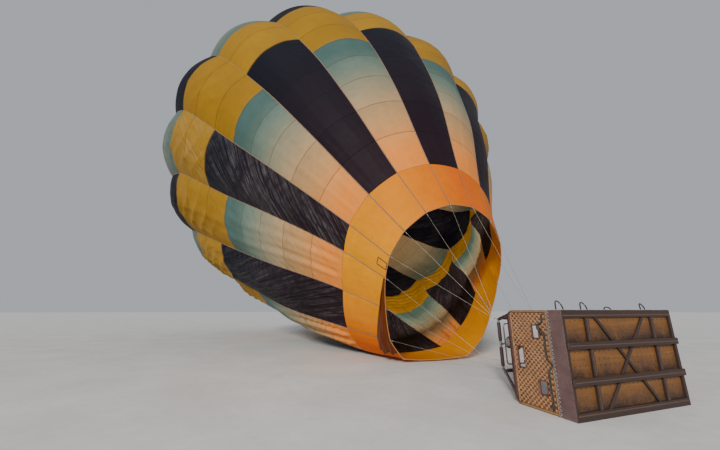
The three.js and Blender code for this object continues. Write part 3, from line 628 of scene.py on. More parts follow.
# %% Gores
GORE_COLUMNS, GORE_ROWS = 37, 289
CUT_FULLNESS = 1.12
run_grid = np.linspace(RING, CROWN, GORE_ROWS)[:, None]
across_grid = np.linspace(-1, 1, GORE_COLUMNS)[None, :]
cells = grid_faces(GORE_ROWS, GORE_COLUMNS)[0]
widths = []
for gore in range(GORES):
    points, width = gore_points(gore, across_grid, run_grid)
    points = points + outward(points) * wrinkles(gore, across_grid, run_grid, width)[..., None]
    points[..., 2] = np.maximum(points[..., 2], LOWEST)
    uv = np.stack(np.broadcast_arrays(across_grid * width / 2, run_grid), -1).reshape(-1, 2)[cells]
    shade, lie = ("light", "dark")[gore % 2 == 0], ("taut", "slack")[SLACK[gore] > 0.3]
    name = f"gore_{gore + 1:02d}"
    finish = CLOTHS[STEEP_CREASES.get(gore, f"{shade} {lie}")]
    made = piece(f"cloth_{name}", (points, cells, uv), "envelope", finish)
    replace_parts(made, name)
    cut = (float(width.max()) * CUT_FULLNESS, CROWN - RING)
    widths.append(round(cut[0], 2))
print("gore rows and columns:", GORE_ROWS, GORE_COLUMNS, "cut widths:", min(widths), "to", max(widths), "m")

# %% [markdown]
# ## Camera, floor and light
# The view looks up from low beside the basket, with a wide lens. The floor is a pale plane just under height
# 0, and the light is soft and from above on the left, as on a bright grey day.

# %% Camera
LENS, SENSOR, FAR = 16.0, 36.0, 500.0
CAMERA_PLACE = (-5.65, 5.80, 1.50)
CAMERA_AHEAD, PITCH = (0.939, -0.344), np.radians(14.9)


def aim(made, place, direction):
    """Puts a camera or light at a place that is given from the burner, looking along a direction."""
    made.location = Vector(place) - Vector(AIR)
    made.rotation_euler = Vector(direction).to_track_quat("-Z", "Y").to_euler()
    bpy.context.scene.collection.objects.link(made)


camera_data = bpy.data.cameras.new("crouching view")
camera_data.lens, camera_data.sensor_width, camera_data.clip_end = LENS, SENSOR, FAR
camera = bpy.data.objects.new("crouching view", camera_data)
aim(camera, CAMERA_PLACE, (CAMERA_AHEAD[0] * np.cos(PITCH), CAMERA_AHEAD[1] * np.cos(PITCH), np.sin(PITCH)))
bpy.context.scene.camera = camera
print("camera at", [round(v, 2) for v in camera.location])

# %% Floor and light
FLOOR_HALF, FLOOR_DROP = 300, 0.004
LIGHT_COLUMNS = ("name", "kind", "place", "target", "power", "size", "colour")
DAYLIGHT, WARM_LIGHT = (1.0, 0.97, 0.93), (1.0, 0.82, 0.64)
LIGHTS = (
    ("key", "SUN", (-26, 26, 24), (8, 0, 5), 3.0, 0.2, DAYLIGHT),
    ("fill", "AREA", (-17, 14, 9), (-1.5, 0, 0.8), 1300.0, 6.0, DAYLIGHT),
    ("inside", "AREA", (6.0, 0.0, 4.2), (14, 0, 9), 2400.0, 1.6, WARM_LIGHT),
)

stone, tree = material("pale floor")
speckle = use(tree, WEATHER, Vector=object_place(tree), Scale=0.7)
pale = blend(tree, speckle["Mask"], rgb(205, 204, 200), rgb(220, 219, 216))
surface(tree, pale, 0.85, speckle["Height"], 0.002)
plane = bpy.data.meshes.new("floor")
plane.from_pydata([(x * FLOOR_HALF - AIR[0], y * FLOOR_HALF, -AIR[2] - FLOOR_DROP)
                   for x, y in ((-1, -1), (1, -1), (1, 1), (-1, 1))], [], [(0, 1, 2, 3)])
plane.materials.append(stone)
floor = bpy.data.objects.new("floor", plane)
bpy.context.scene.collection.objects.link(floor)

world = bpy.data.worlds.new("studio")
world.use_nodes = True
feed(world.node_tree, world.node_tree.nodes["Background"], {"Color": (0.86, 0.9, 0.97, 1), "Strength": 0.5})
bpy.context.scene.world = world
for row in LIGHTS:
    lamp = dict(zip(LIGHT_COLUMNS, row))
    light = bpy.data.lights.new(lamp["name"], lamp["kind"])
    light.energy, light.color = lamp["power"], lamp["colour"]
    setattr(light, "angle" if lamp["kind"] == "SUN" else "size", lamp["size"])
    made = bpy.data.objects.new(lamp["name"], light)
    made.visible_camera = False
    aim(made, lamp["place"], Vector(lamp["target"]) - Vector(lamp["place"]))
print("lights:", len(LIGHTS))

# %% [markdown]
# ## Small finishes
# Each of these takes the shared effects at its own scale, and adds wear, dirt or sheen where the real thing
# has it: cane is dirtier in patches, suede rubs pale, plywood is darker above each rail, and steel by a
# burner takes on the colours of heat. Rope and tape get painted shade in the grooves between their strands,
# and the stake cane is a darker copy of the cane, as painted shade.

# %% Cane, leather and rope


def cane(name, light, dark, twist=0.0):
    """Split cane: fibres along the strand, colour that changes from strand to strand, and dirt in patches."""
    made, tree = material(name)
    place, uv = object_place(tree), surface_uv(tree)
    fibre = use(tree, WOOD, Vector=uv, Stretch=(9.0, 1.2, 1.0), Scale=6.0)
    worn = use(tree, WEATHER, Vector=place, Scale=4.0)
    strand = use(tree, WEATHER, Vector=place, Scale=19.0)
    mix = calc(tree, "ADD", calc(tree, "MULTIPLY", fibre["Height"], 0.55),
               calc(tree, "MULTIPLY", strand["Mask"], 0.4))
    colour = blend(tree, mix, dark, light)
    colour = blend(tree, calc(tree, "MULTIPLY", worn["Mask"], 0.45), colour, rgb(96, 74, 56))
    height = fibre["Lines"]
    if twist:
        height = use(tree, TWIST, Vector=uv, Strands=2.0, Pitch=twist)["Height"]
    surface(tree, colour, remap(tree, worn["Mask"], 0.48, 0.75), height, 0.0012)
    return made


def hide(name, base, worn_to, scale, gloss, sheen=0.0, depth=0.0012):
    """Leather or suede: a cell grain, soft swells and rubbed patches."""
    made, tree = material(name)
    place = object_place(tree)
    grain = use(tree, HIDE, Vector=place, Scale=scale)
    rubbed = use(tree, WEATHER, Vector=place, Scale=5.0)
    stains = use(tree, WEATHER, Vector=place, Scale=1.4)
    colour = blend(tree, calc(tree, "MULTIPLY", rubbed["Mask"], 0.55), base, worn_to)
    colour = blend(tree, calc(tree, "MULTIPLY", stains["Mask"], 0.35), colour, rgb(46, 34, 30))
    surface(tree, colour, remap(tree, grain["Mask"], gloss - 0.1, gloss + 0.15), grain["Height"], depth,
            Sheen_Weight=sheen)
    return made


def rope_stuff(name, light, dark, pitch=0.02, strands=3.0):
    """Laid rope or webbing: strands that climb round it with painted shade between them, dirtier in patches.
    """
    made, tree = material(name)
    uv = surface_uv(tree)
    twist = use(tree, TWIST, Vector=uv, Strands=strands, Pitch=pitch)["Height"]
    darkening = use(tree, WEATHER, Vector=object_place(tree), Scale=6.0)
    # Painted shade: dark in the grooves between strands, light on their crowns.
    colour = blend(tree, twist, dark, light)
    colour = blend(tree, calc(tree, "MULTIPLY", darkening["Mask"], 0.3), colour, dark)
    surface(tree, colour, 0.8, twist, 0.0015, Sheen_Weight=0.2)
    return made


# %% Wood and metal
DARKENING_RISE = 0.26
DARKENED_EDGES = (0.11, 0.557, 1.047)


def timber(name, light, dark, stretch, gloss, bays=()):
    """Sawn wood: grain along the stretch's short side, and darkening in patches above each bay's lower edge.
    """
    made, tree = material(name)
    place = object_place(tree)
    grain = use(tree, WOOD, Vector=place, Stretch=stretch, Scale=3.0)
    worn = use(tree, WEATHER, Vector=place, Scale=2.6)
    colour = blend(tree, grain["Height"], dark, light)
    colour = blend(tree, calc(tree, "MULTIPLY", grain["Lines"], 0.18), colour, dark, "MULTIPLY")
    colour = blend(tree, calc(tree, "MULTIPLY", worn["Mask"], 0.3), colour, rgb(70, 52, 44))
    height = add(tree, "SeparateXYZ", {0: place}).outputs["Z"]
    # Darker towards each bay's lower edge, in patches.
    for edge in bays:
        edge = edge - AIR[2]
        darkening = remap(tree, height, 1.0, 0.0, edge, edge + DARKENING_RISE)
        above = calc(tree, "GREATER_THAN", height, edge - 0.01)
        patchy = calc(tree, "MULTIPLY", calc(tree, "MULTIPLY", darkening, above),
                      remap(tree, worn["Height"], 0.0, 1.0, 0.25, 0.55))
        colour = blend(tree, patchy, colour, rgb(44, 30, 24))
    surface(tree, colour, remap(tree, worn["Mask"], gloss, gloss + 0.25), grain["Lines"], 0.0008)
    return made


HEAT_TINTS = ((0.3, rgb(168, 140, 96)), (0.45, rgb(150, 96, 70)), (0.6, rgb(84, 84, 120)))


def metal(name, base, gloss, heat=0.0, metallic=1.0):
    """Brushed or heat-stained metal: fine scratches, duller patches and, where hot, straw and blue."""
    made, tree = material(name)
    place = object_place(tree)
    brushed = use(tree, WOOD, Vector=place, Stretch=(1.0, 14.0, 14.0), Scale=40.0)
    patch = use(tree, WEATHER, Vector=place, Scale=9.0)
    colour = blend(tree, calc(tree, "MULTIPLY", patch["Mask"], 0.35), base, rgb(70, 66, 62))
    if heat:
        colour = blend(tree, heat, colour, ramp(tree, patch["Height"], HEAT_TINTS))
    surface(tree, colour, remap(tree, patch["Mask"], gloss, gloss + 0.25), brushed["Height"], 0.0004,
            Metallic=metallic)
    return made


# %% The finishes
CANE = cane("tan cane", rgb(214, 162, 112), rgb(142, 94, 58))
# Painted shade: the stakes are a darker copy of the cane, set wide behind the strands so that the gaps read
# dark.
CANE_SHADE = cane("stake cane in painted shade", rgb(142, 96, 62), rgb(80, 50, 30))
CANE_BORDER = cane("plaited cane border", rgb(184, 140, 88), rgb(104, 70, 40), twist=0.05)
RIM_HIDE = hide("red-brown rim leather", rgb(52, 17, 15), rgb(92, 42, 34), 260.0, 0.45)
POLE_HIDE = hide("dark upright leather", rgb(44, 24, 34), rgb(88, 60, 68), 260.0, 0.5)
SUEDE = hide("maroon suede", rgb(78, 44, 44), rgb(112, 88, 82), 420.0, 0.82, 0.35, 0.0006)
HOLE_HIDE = hide("step hole leather", rgb(84, 44, 36), rgb(120, 82, 62), 300.0, 0.55)
LACE = rope_stuff("pale lacing", rgb(196, 186, 174), rgb(126, 114, 104), 0.01)
RIM_THREAD = rope_stuff("dull rim thread", rgb(112, 72, 62), rgb(64, 36, 32), 0.006)
PIPING = rope_stuff("pale piping", rgb(196, 186, 168), rgb(120, 106, 94), 0.006)
BLACK_ROPE = rope_stuff("black rope", rgb(48, 46, 46), rgb(12, 12, 13))
WEBBING = rope_stuff("load tape", rgb(152, 116, 88), rgb(96, 70, 52), 0.004, 8.0)
HEM = rope_stuff("mouth hem", rgb(196, 128, 62), rgb(128, 78, 36), 0.012)
DARK_TAPE = rope_stuff("dark tape", rgb(46, 38, 40), rgb(18, 16, 20), 0.004, 8.0)
PLYWOOD = timber("golden plywood", rgb(142, 94, 38), rgb(92, 58, 24), (1.0, 0.35, 5.0), 0.5, DARKENED_EDGES)
RAIL_WOOD = timber("purple-brown rail", rgb(62, 42, 36), rgb(30, 20, 18), (1.0, 0.3, 6.0), 0.5)
GROOVE_WOOD = timber("worn groove", rgb(104, 80, 66), rgb(70, 50, 42), (1.0, 0.3, 6.0), 0.6)
WIRE_STEEL = metal("stranded wire", rgb(196, 192, 180), 0.4, metallic=0.7)
FRAME_STEEL = metal("frame steel", rgb(150, 152, 154), 0.35)
BURNER_STEEL = metal("burner steel", rgb(176, 174, 170), 0.28, heat=0.25)
COIL_STEEL = metal("heated coil", rgb(160, 150, 138), 0.35, heat=0.7)
BRASS = metal("valve brass", rgb(196, 158, 84), 0.35)
CYLINDER_ALLOY = metal("cylinder alloy", rgb(186, 188, 190), 0.42)
RUSTED = metal("rusted screw", rgb(60, 44, 36), 0.6, metallic=0.5)
GRIP = hide("lever grip", rgb(30, 30, 34), rgb(60, 60, 66), 500.0, 0.6)
print("materials:", len(bpy.data.materials))

# %% [markdown]
# ## Mouth, tapes and crown
# Load tapes of woven webbing carry the basket: one runs up every gore joint from the mouth to the crown
# ring. The mouth is a plain band of fire-proof cloth with a rolled hem, and a steel ring hangs on each tape
# there for the flying wires. A flap of spare cloth is folded over on the lower left of the mouth.

# %% Points on the cloth


def cloth_points(around, run, lift=0.0):
    """A point of the envelope, around it in gores and along it in metres, raised along the normal."""
    around, run = np.broadcast_arrays(np.asarray(around, float), np.asarray(run, float))

    def spot(around, run):
        """The cloth's middle surface."""
        gore = np.floor(around + 0.5)
        return gore_points(gore, 2 * (around - gore), run)[0]

    step = 0.01
    normal = unit(np.cross(spot(around, run + step) - spot(around, run - step),
                           spot(around + step, run) - spot(around - step, run)))
    return spot(around, run) + normal * np.asarray(lift)[..., None], normal


# %% Mouth band
BAND_ROWS = 34
BAND_COLUMNS = GORES * 14
BAND_END = RING - 0.0002
band_around = np.linspace(-0.5, GORES - 0.5, BAND_COLUMNS + 1)[None, :]
band_run = np.linspace(0, BAND_END, BAND_ROWS)[:, None]
ripple = (0.006 * np.sin(band_around * 9.0 + 2.0 * band_run)
          + 0.004 * np.sin(band_around * 23.0 - 1.1 * band_run))
loose = 0.35 + 0.65 * np.clip(-np.cos(band_around * GORE_STEP), 0, 1)
ripple = ripple * loose * np.clip(np.minimum(band_run, BAND_END - band_run) / 0.2, 0, 1)
band_points = cloth_points(band_around, band_run, ripple)[0]
band_points[..., 2] = np.maximum(band_points[..., 2], LOWEST)
cells = grid_faces(BAND_ROWS, BAND_COLUMNS + 1)[0]
girth = distances(band_points[BAND_ROWS // 2])
uv = np.stack(np.broadcast_arrays(girth[None, :], band_run), -1).reshape(-1, 2)[cells]
mouth_band = piece("mouth_cloth", (band_points, cells, uv), "envelope", BAND_CLOTH)
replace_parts(mouth_band, "mouth_band")

HEM_RADIUS, HEM_COUNT = 0.013, 320
hem_path = cloth_points(np.linspace(0, GORES, HEM_COUNT + 1)[:-1], 0.004)[0]
piece("mouth_hem", sweep(hem_path, HEM_RADIUS, 8, closed=True), "envelope", HEM)
print("band girth:", round(float(girth[-1]), 2), "m")

# %% Load tapes
# A tape lies where two gores meet, so its up is halfway between their normals, taken a hair to each side.
TAPE_HALF, TAPE_THICK, TAPE_LIFT = 0.016, 0.0025, 0.004
HAIR = 1e-6
tape_run = np.linspace(0.0, CROWN + 0.08, 100)
tape_path, tape_normal = cloth_points(TAPES[:, None] + HAIR, tape_run[None, :], TAPE_LIFT)
other_normal = cloth_points(TAPES[:, None] - HAIR, tape_run[None, :])[1]
tapes = sweep(tape_path, (TAPE_HALF, TAPE_THICK), 6, up=unit(tape_normal + other_normal))
piece("load_tapes", tapes, "envelope", WEBBING)
print("tapes:", GORES, "up to", round(max(distances(path)[-1] for path in tape_path), 1), "m long")

# %% Mouth rings
RING_RADIUS, RING_WIRE, RING_SHIFT = 0.028, 0.0045, 0.012
turn = circle(24)
ends = tape_points(np.zeros(GORES), TAPES * GORE_STEP)
ring = np.stack([RING_SHIFT + RING_RADIUS * np.cos(turn), 0 * turn, RING_RADIUS * np.sin(turn)], -1)
rings = ends[:, None] + ring
rings[..., 2] = np.maximum(rings[..., 2], RING_WIRE)
piece("mouth_rings", sweep(rings, RING_WIRE, 8, up=(0, 1, 0), closed=True), "envelope", WIRE_STEEL)
print("mouth rings:", len(rings))

# %% Crown ring
CROWN_GAP, CROWN_WIDTH, CROWN_THICK = 0.0003, 0.0897, 0.004
crown_around = np.linspace(0, GORES, GORES * 12 + 1)[:-1]
crown_path, crown_up = cloth_points(crown_around, CROWN + CROWN_GAP + CROWN_WIDTH / 2, -0.005)
ring = sweep(crown_path, (CROWN_WIDTH / 2, CROWN_THICK), 8, up=crown_up, closed=True)
crown_band = piece("crown_webbing", ring, "envelope", WEBBING)
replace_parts(crown_band, "crown_ring")
print("crown ring:", round(float(distances(crown_path)[-1]), 1), "m round")

# %% Vent
# The vent lies under the gores' ends: a straight rim from tape to tape, and a low dome with a pleat to a
# gore.
VENT_OVERLAP, VENT_RISE, VENT_GAP, SHELL, PLEAT = 0.32, 0.16, 0.0006, 0.010, 0.012
VENT_COLUMNS, VENT_RINGS = GORES * 8, 14
vent_lean = np.radians(34.0)
vent_out = np.array([np.cos(vent_lean), 0.0, np.sin(vent_lean)])
seat_run = np.array([CROWN, CROWN - VENT_OVERLAP])[:, None]
seat, seat_normal = cloth_points(np.arange(GORES + 1)[None, :] - 0.5 + HAIR, seat_run)
seat = seat - seat_normal * (SHELL + VENT_GAP)
fine = np.linspace(0, GORES, VENT_COLUMNS + 1)
base = np.minimum(fine.astype(int), GORES - 1)
part = (fine - base)[:, None]
vent_rim, vent_edge = [row[base] + (row[base + 1] - row[base]) * part for row in seat]
tip = seat[0, :-1].mean(0) + vent_out * VENT_RISE
inward = np.linspace(0, 1, VENT_RINGS)[1:, None, None]
pleats = PLEAT * np.cos(2 * np.pi * fine)[None, :, None] * np.sin(np.pi * inward)
raised = vent_rim + (tip - vent_rim) * inward + vent_out * (VENT_RISE * inward * (1 - inward) + pleats)
vent_points = np.concatenate([vent_edge[None], vent_rim[None], raised])

# The last row of cells would be flat at the tip, so triangles close it.
cells = grid_faces(len(vent_points), VENT_COLUMNS + 1)[0][:-VENT_COLUMNS]
reach = distances(vent_points[:, 0])
uv = np.stack(np.broadcast_arrays(fine[None, :] * 0.4, reach[:, None]), -1).reshape(-1, 2)
last = (len(vent_points) - 2) * (VENT_COLUMNS + 1) + np.arange(VENT_COLUMNS)
tips = np.stack([last, np.full(VENT_COLUMNS, len(uv) - 1), last + 1], 1)
vent_uv = np.concatenate([uv[cells].reshape(-1, 2), uv[tips].reshape(-1, 2)])
dome = (vent_points, cells.tolist() + tips.tolist(), vent_uv)
vent = piece("vent_cloth", dome, "vent", VENT_CLOTH)
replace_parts(vent, "vent_disc")

# %% Vent lines
LINE_LENGTH, LINE_SAG, LINE_RADIUS = 2.6, 0.02, 0.004
line_from = cloth_points(TAPES + HAIR, CROWN - LINE_LENGTH, -0.03)[0]
line_to = seat[1, 1:] - seat_normal[1, 1:] * 0.02
way = np.linspace(0, 1, 12)[None, :, None]
sag = -LINE_SAG * np.sin(np.pi * way) * vent_out
hang = line_from[:, None] + (line_to - line_from)[:, None] * way + sag
vent_lines = piece("vent_lines", sweep(hang, LINE_RADIUS, 6, up=(0.2, 0.3, 1)), None, WEBBING)
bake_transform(vent_lines)
print("vent lines:", len(line_from))

# %% Mouth flap
FLAP_START, FLAP_END = np.array([102.0, 160.0]) / 22.5
FLAP_TOP_WIDTH, FLAP_FOOT_WIDTH, FLAP_STAND = 0.06, 0.72, 0.16
# The flap is the amber mouth cloth in painted shade: dark brown-orange, darker still further along the flap.
FLAP_SHADED_STRIPE = [(0.0, rgb(128, 62, 10)), (0.1, rgb(84, 36, 8)), (1.0, rgb(84, 36, 8))]
FLAP_CLOTH = cloth("folded mouth cloth in painted shade", FLAP_SHADED_STRIPE, 0.6, 0.1, 0.15, False)
flap_down = np.linspace(0, 1, 90)[:, None]
flap_in = np.linspace(0, 1, 34)[None, :]
flap_around = FLAP_START + (FLAP_END - FLAP_START) * flap_down
flap_run = 0.004 + (FLAP_TOP_WIDTH + (FLAP_FOOT_WIDTH - FLAP_TOP_WIDTH) * flap_down**1.3) * flap_in
flap_folds = 0.55 + 0.45 * np.cos(2 * np.pi * (2.4 * flap_in + 0.5 * flap_down) + 0.7 * np.sin(7 * flap_down))
flap_stand = FLAP_STAND * np.sin(np.pi * flap_in) ** 0.6 * flap_folds * (0.35 + 0.65 * flap_down)
flap_points = cloth_points(flap_around, flap_run, 0.006 + flap_stand)[0]
flap_points[..., 2] = np.maximum(flap_points[..., 2], 3 * LOWEST)
cells = grid_faces(*flap_points.shape[:2])[0]
flap_width, flap_length = (float(np.linalg.norm(np.diff(flap_points, axis=axis), axis=-1).sum(axis).max())
                           for axis in (1, 0))
uv = np.stack(np.broadcast_arrays(flap_in * flap_width, flap_down * flap_length), -1).reshape(-1, 2)[cells]
flap = piece("mouth_flap", (flap_points, cells, uv), "envelope", FLAP_CLOTH)
print("flap:", round(flap_width, 2), round(flap_length, 2), "m")

# %% Outlined patch
PATCH_GORE, PATCH_HALF, PATCH_START, PATCH_END = 4.0, 0.14, 0.03, 0.42
edge = np.linspace(0, 1, 20)[:-1]
square = (np.concatenate([edge * 2 - 1, 0 * edge + 1, 1 - 2 * edge, 0 * edge - 1]),
          np.concatenate([0 * edge, edge, 0 * edge + 1, 1 - edge]))
outline_path, outline_up = cloth_points(PATCH_GORE + PATCH_HALF * square[0],
                                        PATCH_START + (PATCH_END - PATCH_START) * square[1], 0.009)
outline = sweep(outline_path, (0.012, 0.002), 6, up=outline_up, closed=True)
piece("patch_outline", outline, "envelope", DARK_TAPE)
print("patch outline:", round(float(distances(outline_path)[-1]), 2), "m of tape")

# %% [markdown]
# ## Flying wires
# Stainless strand runs from a shackle at each corner of the load frame to the mouth rings, four to a
# corner. The wires cross the joint between basket and envelope, so no group is attached to either body, and
# each has its place baked into its points.

# %% Wires
FRAME_Z, FRAME_HALF_Y, FRAME_HALF_Z, FRAME_CORNER, FRAME_TUBE = 0.82, 0.6, 0.52, 0.08, 0.022
CORNER_INSET = FRAME_CORNER * (1 - np.sqrt(0.5))
LINK_RADIUS, LINK_WIRE, LINK_X = 0.032, 0.006, 0.0879
WIRE_RADIUS, WIRE_FAN = 0.0028, np.radians(17.0)
WIRES = GORES // 4
# A crimped sleeve sits near each end of a wire, this far from it.
SLEEVE_RADIUS, SLEEVE_LENGTH, LOWER_SLEEVE, UPPER_SLEEVE = 0.0075, 0.07, 0.02, 0.05
CORNERS = {"upper_near": (1, 1), "upper_far": (-1, 1), "lower_near": (1, -1), "lower_far": (-1, -1)}


def frame_corner(sign_y, sign_z):
    """The middle of the load frame's tube at one of its corners."""
    return np.array([0, sign_y * (FRAME_HALF_Y - CORNER_INSET),
                     FRAME_Z + sign_z * (FRAME_HALF_Z - CORNER_INSET)])


for name, (sign_y, sign_z) in CORNERS.items():
    corner = frame_corner(sign_y, sign_z)
    place = np.arange(WIRES)
    fan = sign_y * (place - (WIRES - 1) / 2) * WIRE_FAN
    eye = corner + np.stack([LINK_X + LINK_RADIUS * np.cos(fan), LINK_RADIUS * np.sin(fan), 0 * fan], 1)
    from_top = (place + 0.5) * GORE_STEP
    end = tape_points(np.zeros(WIRES), sign_y * (from_top if sign_z > 0 else np.pi - from_top))
    way = np.linspace(0, 1, 26)[None, :, None]
    wires = sweep(eye[:, None] + (end - eye)[:, None] * way, WIRE_RADIUS, 8, up=(0.1, 0.2, 1))
    ahead = unit(end - eye)[:, None]
    part = np.linspace(0, 1, 5)[None, :, None] * SLEEVE_LENGTH
    lower = sweep(eye[:, None] + ahead * (LOWER_SLEEVE + part), SLEEVE_RADIUS, 10, up=(0.1, 0.2, 1))
    upper = sweep(end[:, None] - ahead * (UPPER_SLEEVE + part), SLEEVE_RADIUS, 10, up=(0.1, 0.2, 1))
    turn = circle(32)
    link = corner + np.stack([LINK_X + LINK_RADIUS * np.cos(turn), LINK_RADIUS * np.sin(turn), 0 * turn], 1)
    shackle = sweep(link, LINK_WIRE, 10, closed=True)
    made = piece(f"flying_wires_{name}", merged(wires, lower, upper, shackle), None, WIRE_STEEL)
    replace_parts(made, f"wires_{name}")
    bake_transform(made)
print("wires:", len(CORNERS), "groups of", WIRES)

# %% [markdown]
# ## Wicker basket
# A basket is woven from thick upright stakes with split cane going in front of one and behind the next. The
# cane goes in pairs, and the pair above does the opposite. So a strand is a sine across the wall whose half
# wave is the stakes' spacing, and its sign changes with every pair. The basket lies on its long side, so
# its stakes run along X.

# %% Wicker
HALF_LENGTH, WIDTH = 1.3, 1.5
FLOOR_TOP, WALL_TOP = -1.9897, -1.0303
WALL_THICK, SKIRT_THICK, SEAT = 0.034, 0.006, 0.0003
OUTER_Y, INNER_Y = HALF_LENGTH - SKIRT_THICK, HALF_LENGTH - SKIRT_THICK - WALL_THICK
# The stakes are nearly as wide as their spacing, so their darker cane fills the gaps as painted shade.
STAKE_STEP, STAKE_HALF, STAKE_THICK = 0.039, 0.0165, 0.004
PAIR_PITCH, PAIR_HALF, STRAND_HALF, STRAND_THICK, STRAND_SWING = 0.041, 0.0096, 0.0092, 0.0045, 0.0105
HOLE_HEIGHT, RIM_TOP = 0.14, -0.95
# Step holes: the way down from the rim to the hole's middle, its place across the end wall, and its width.
STEP_HOLES = ((0.24, 0.75, 0.33), (0.6, 0.345, 0.2), (0.58, 1.165, 0.2))
HOLES = [(RIM_TOP - down - HOLE_HEIGHT / 2, RIM_TOP - down + HOLE_HEIGHT / 2, z - width / 2, z + width / 2)
         for down, z, width in STEP_HOLES]
SHORTEST, HOLE_CLEAR = 0.01, 0.006


def cleared(low, high, cuts):
    """What is left of a stretch when the cuts are taken out."""
    left = [(low, high)]
    for start, end in cuts:
        left = [(a, b) for low, high in left for a, b in ((low, min(high, start)), (max(low, end), high))
                if b - a > SHORTEST]
    return left


def wicker(name, low, high, place, axis, seed, top=WALL_TOP, holes=(), coarse=1.0):
    """One woven wall. Across it, a strand is swing x sin(pi x way / stake step), its sign by the pair."""
    random = np.random.default_rng(seed)
    count = max(int(round((high - low) / (STAKE_STEP * coarse))), 2)
    step = (high - low) / count
    stakes, strands = [], []

    def laid(x, way, out, half):
        """A flat strand on the wall, in from its middle by out."""
        wall = np.stack([x, way, place + out] if axis == "z" else [x, place + out, way], -1)
        return sweep(wall, np.array(half) * coarse, 5, up=(0, 0, 1) if axis == "z" else (0, 1, 0))

    for index in range(count):
        way = low + (index + 0.5) * step
        for start, end in cleared(FLOOR_TOP, top, [h[:2] for h in holes if h[2] < way < h[3]]):
            x = np.linspace(start, end, 6)
            stakes.append(laid(x, way + 0.0015 * np.sin(x * 9 + index), 0 * x, (STAKE_HALF, STAKE_THICK)))
    pairs = int((top - FLOOR_TOP) / (PAIR_PITCH * coarse))
    for row in range(2 * pairs):
        x_row = (FLOOR_TOP + (row // 2 + 0.5) * (top - FLOOR_TOP) / pairs
                 + (2 * (row % 2) - 1) * PAIR_HALF * coarse)
        swing = STRAND_SWING * random.uniform(0.85, 1.08)
        phase = random.uniform(0, 2 * np.pi)
        crossed = [h[2:] for h in holes if h[0] - HOLE_CLEAR < x_row < h[1] + HOLE_CLEAR]
        for start, end in cleared(low, high, crossed):
            way = np.linspace(start, end, max(int((end - start) / step * 3) + 1, 6))
            out = swing * np.sin(np.pi * (way - low) / step) * (-1) ** (row // 2)
            x = x_row + 0.0014 * np.sin(way * 11 + phase) + 0.0009 * np.sin(way * 41 + phase)
            strands.append(laid(x, way, out, (STRAND_HALF, STRAND_THICK)))
    piece(f"{name}_stakes", merged(*stakes), "basket", CANE_SHADE)
    return piece(name, merged(*strands), "basket", CANE)


# %% Walls and partition
WALL_MIDDLE = WALL_THICK / 2
LONG_HALF, END_INSET = INNER_Y + 0.03, 0.0415
# Walls: name, lowest and highest way along, place, the axis that it faces, and its holes.
WALLS = (
    ("upper", -LONG_HALF, LONG_HALF, WIDTH - SKIRT_THICK - WALL_MIDDLE, "z", ()),
    ("lower", -LONG_HALF, LONG_HALF, SKIRT_THICK + WALL_MIDDLE, "z", ()),
    ("near", END_INSET, WIDTH - END_INSET, OUTER_Y - WALL_MIDDLE, "y", HOLES),
    ("far", END_INSET, WIDTH - END_INSET, WALL_MIDDLE - OUTER_Y, "y", HOLES),
)
for seed, (name, low, high, place, axis, holes) in enumerate(WALLS):
    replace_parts(wicker(f"wicker_{name}", low, high, place, axis, seed, holes=holes), f"wall_{name}")

PARTITION_Y, PARTITION_TOP = -0.35, FLOOR_TOP + 0.8
inner_wall = wicker("wicker_partition", END_INSET, WIDTH - END_INSET, PARTITION_Y, "y", 9, top=PARTITION_TOP,
                    coarse=1.3)
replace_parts(inner_wall, "partition")
print("wicker walls:", len(WALLS) + 1)

# %% Borders, corner canes and step holes


def rounded(half_a, half_b, corner, steps):
    """A rounded rectangle about (0, 0): at each corner a quarter of middle + corner (cos t, sin t)."""
    quarter = np.linspace(0, np.pi / 2, steps)
    arcs = [np.stack([sign_a * (half_a - corner) + corner * np.cos(quarter + k * np.pi / 2),
                      sign_b * (half_b - corner) + corner * np.sin(quarter + k * np.pi / 2)], 1)
            for k, (sign_a, sign_b) in enumerate(((1, 1), (-1, 1), (-1, -1), (1, -1)))]
    return np.concatenate(arcs)


def loop(x, half_y, half_z, corner, count, middle=WIDTH / 2):
    """A rounded rectangle at one x, with its points evenly spaced, and its length."""
    outline = rounded(half_y, half_z, corner, 9)
    outline = np.concatenate([outline, outline[:1]])
    length = distances(outline)
    even = np.linspace(0, length[-1], count + 1)[:-1]
    y, z = np.interp(even, length, outline[:, 0]), np.interp(even, length, outline[:, 1])
    return np.stack([0 * y + x, y, z + middle], 1), float(length[-1])


def plait(path, radius, thick, strands, pitch, up=(1, 0, 0)):
    """Strands wound round a closed path: each is the path + radius (cos a, sin a), a = way / pitch."""
    ahead = unit(np.roll(path, -1, 0) - np.roll(path, 1, 0))
    side = unit(np.cross(ahead, up))
    lift = np.cross(side, ahead)
    steps = np.linalg.norm(np.diff(path, axis=0, append=path[:1]), axis=1)
    turns = max(int(round(steps.sum() / pitch)), 1)
    angle = 2 * np.pi * turns * np.concatenate([[0], np.cumsum(steps)[:-1]]) / steps.sum()
    angle = (angle + circle(strands)[:, None])[..., None]
    return sweep(path + radius * (np.cos(angle) * side + np.sin(angle) * lift), thick, 6, up=up, closed=True)


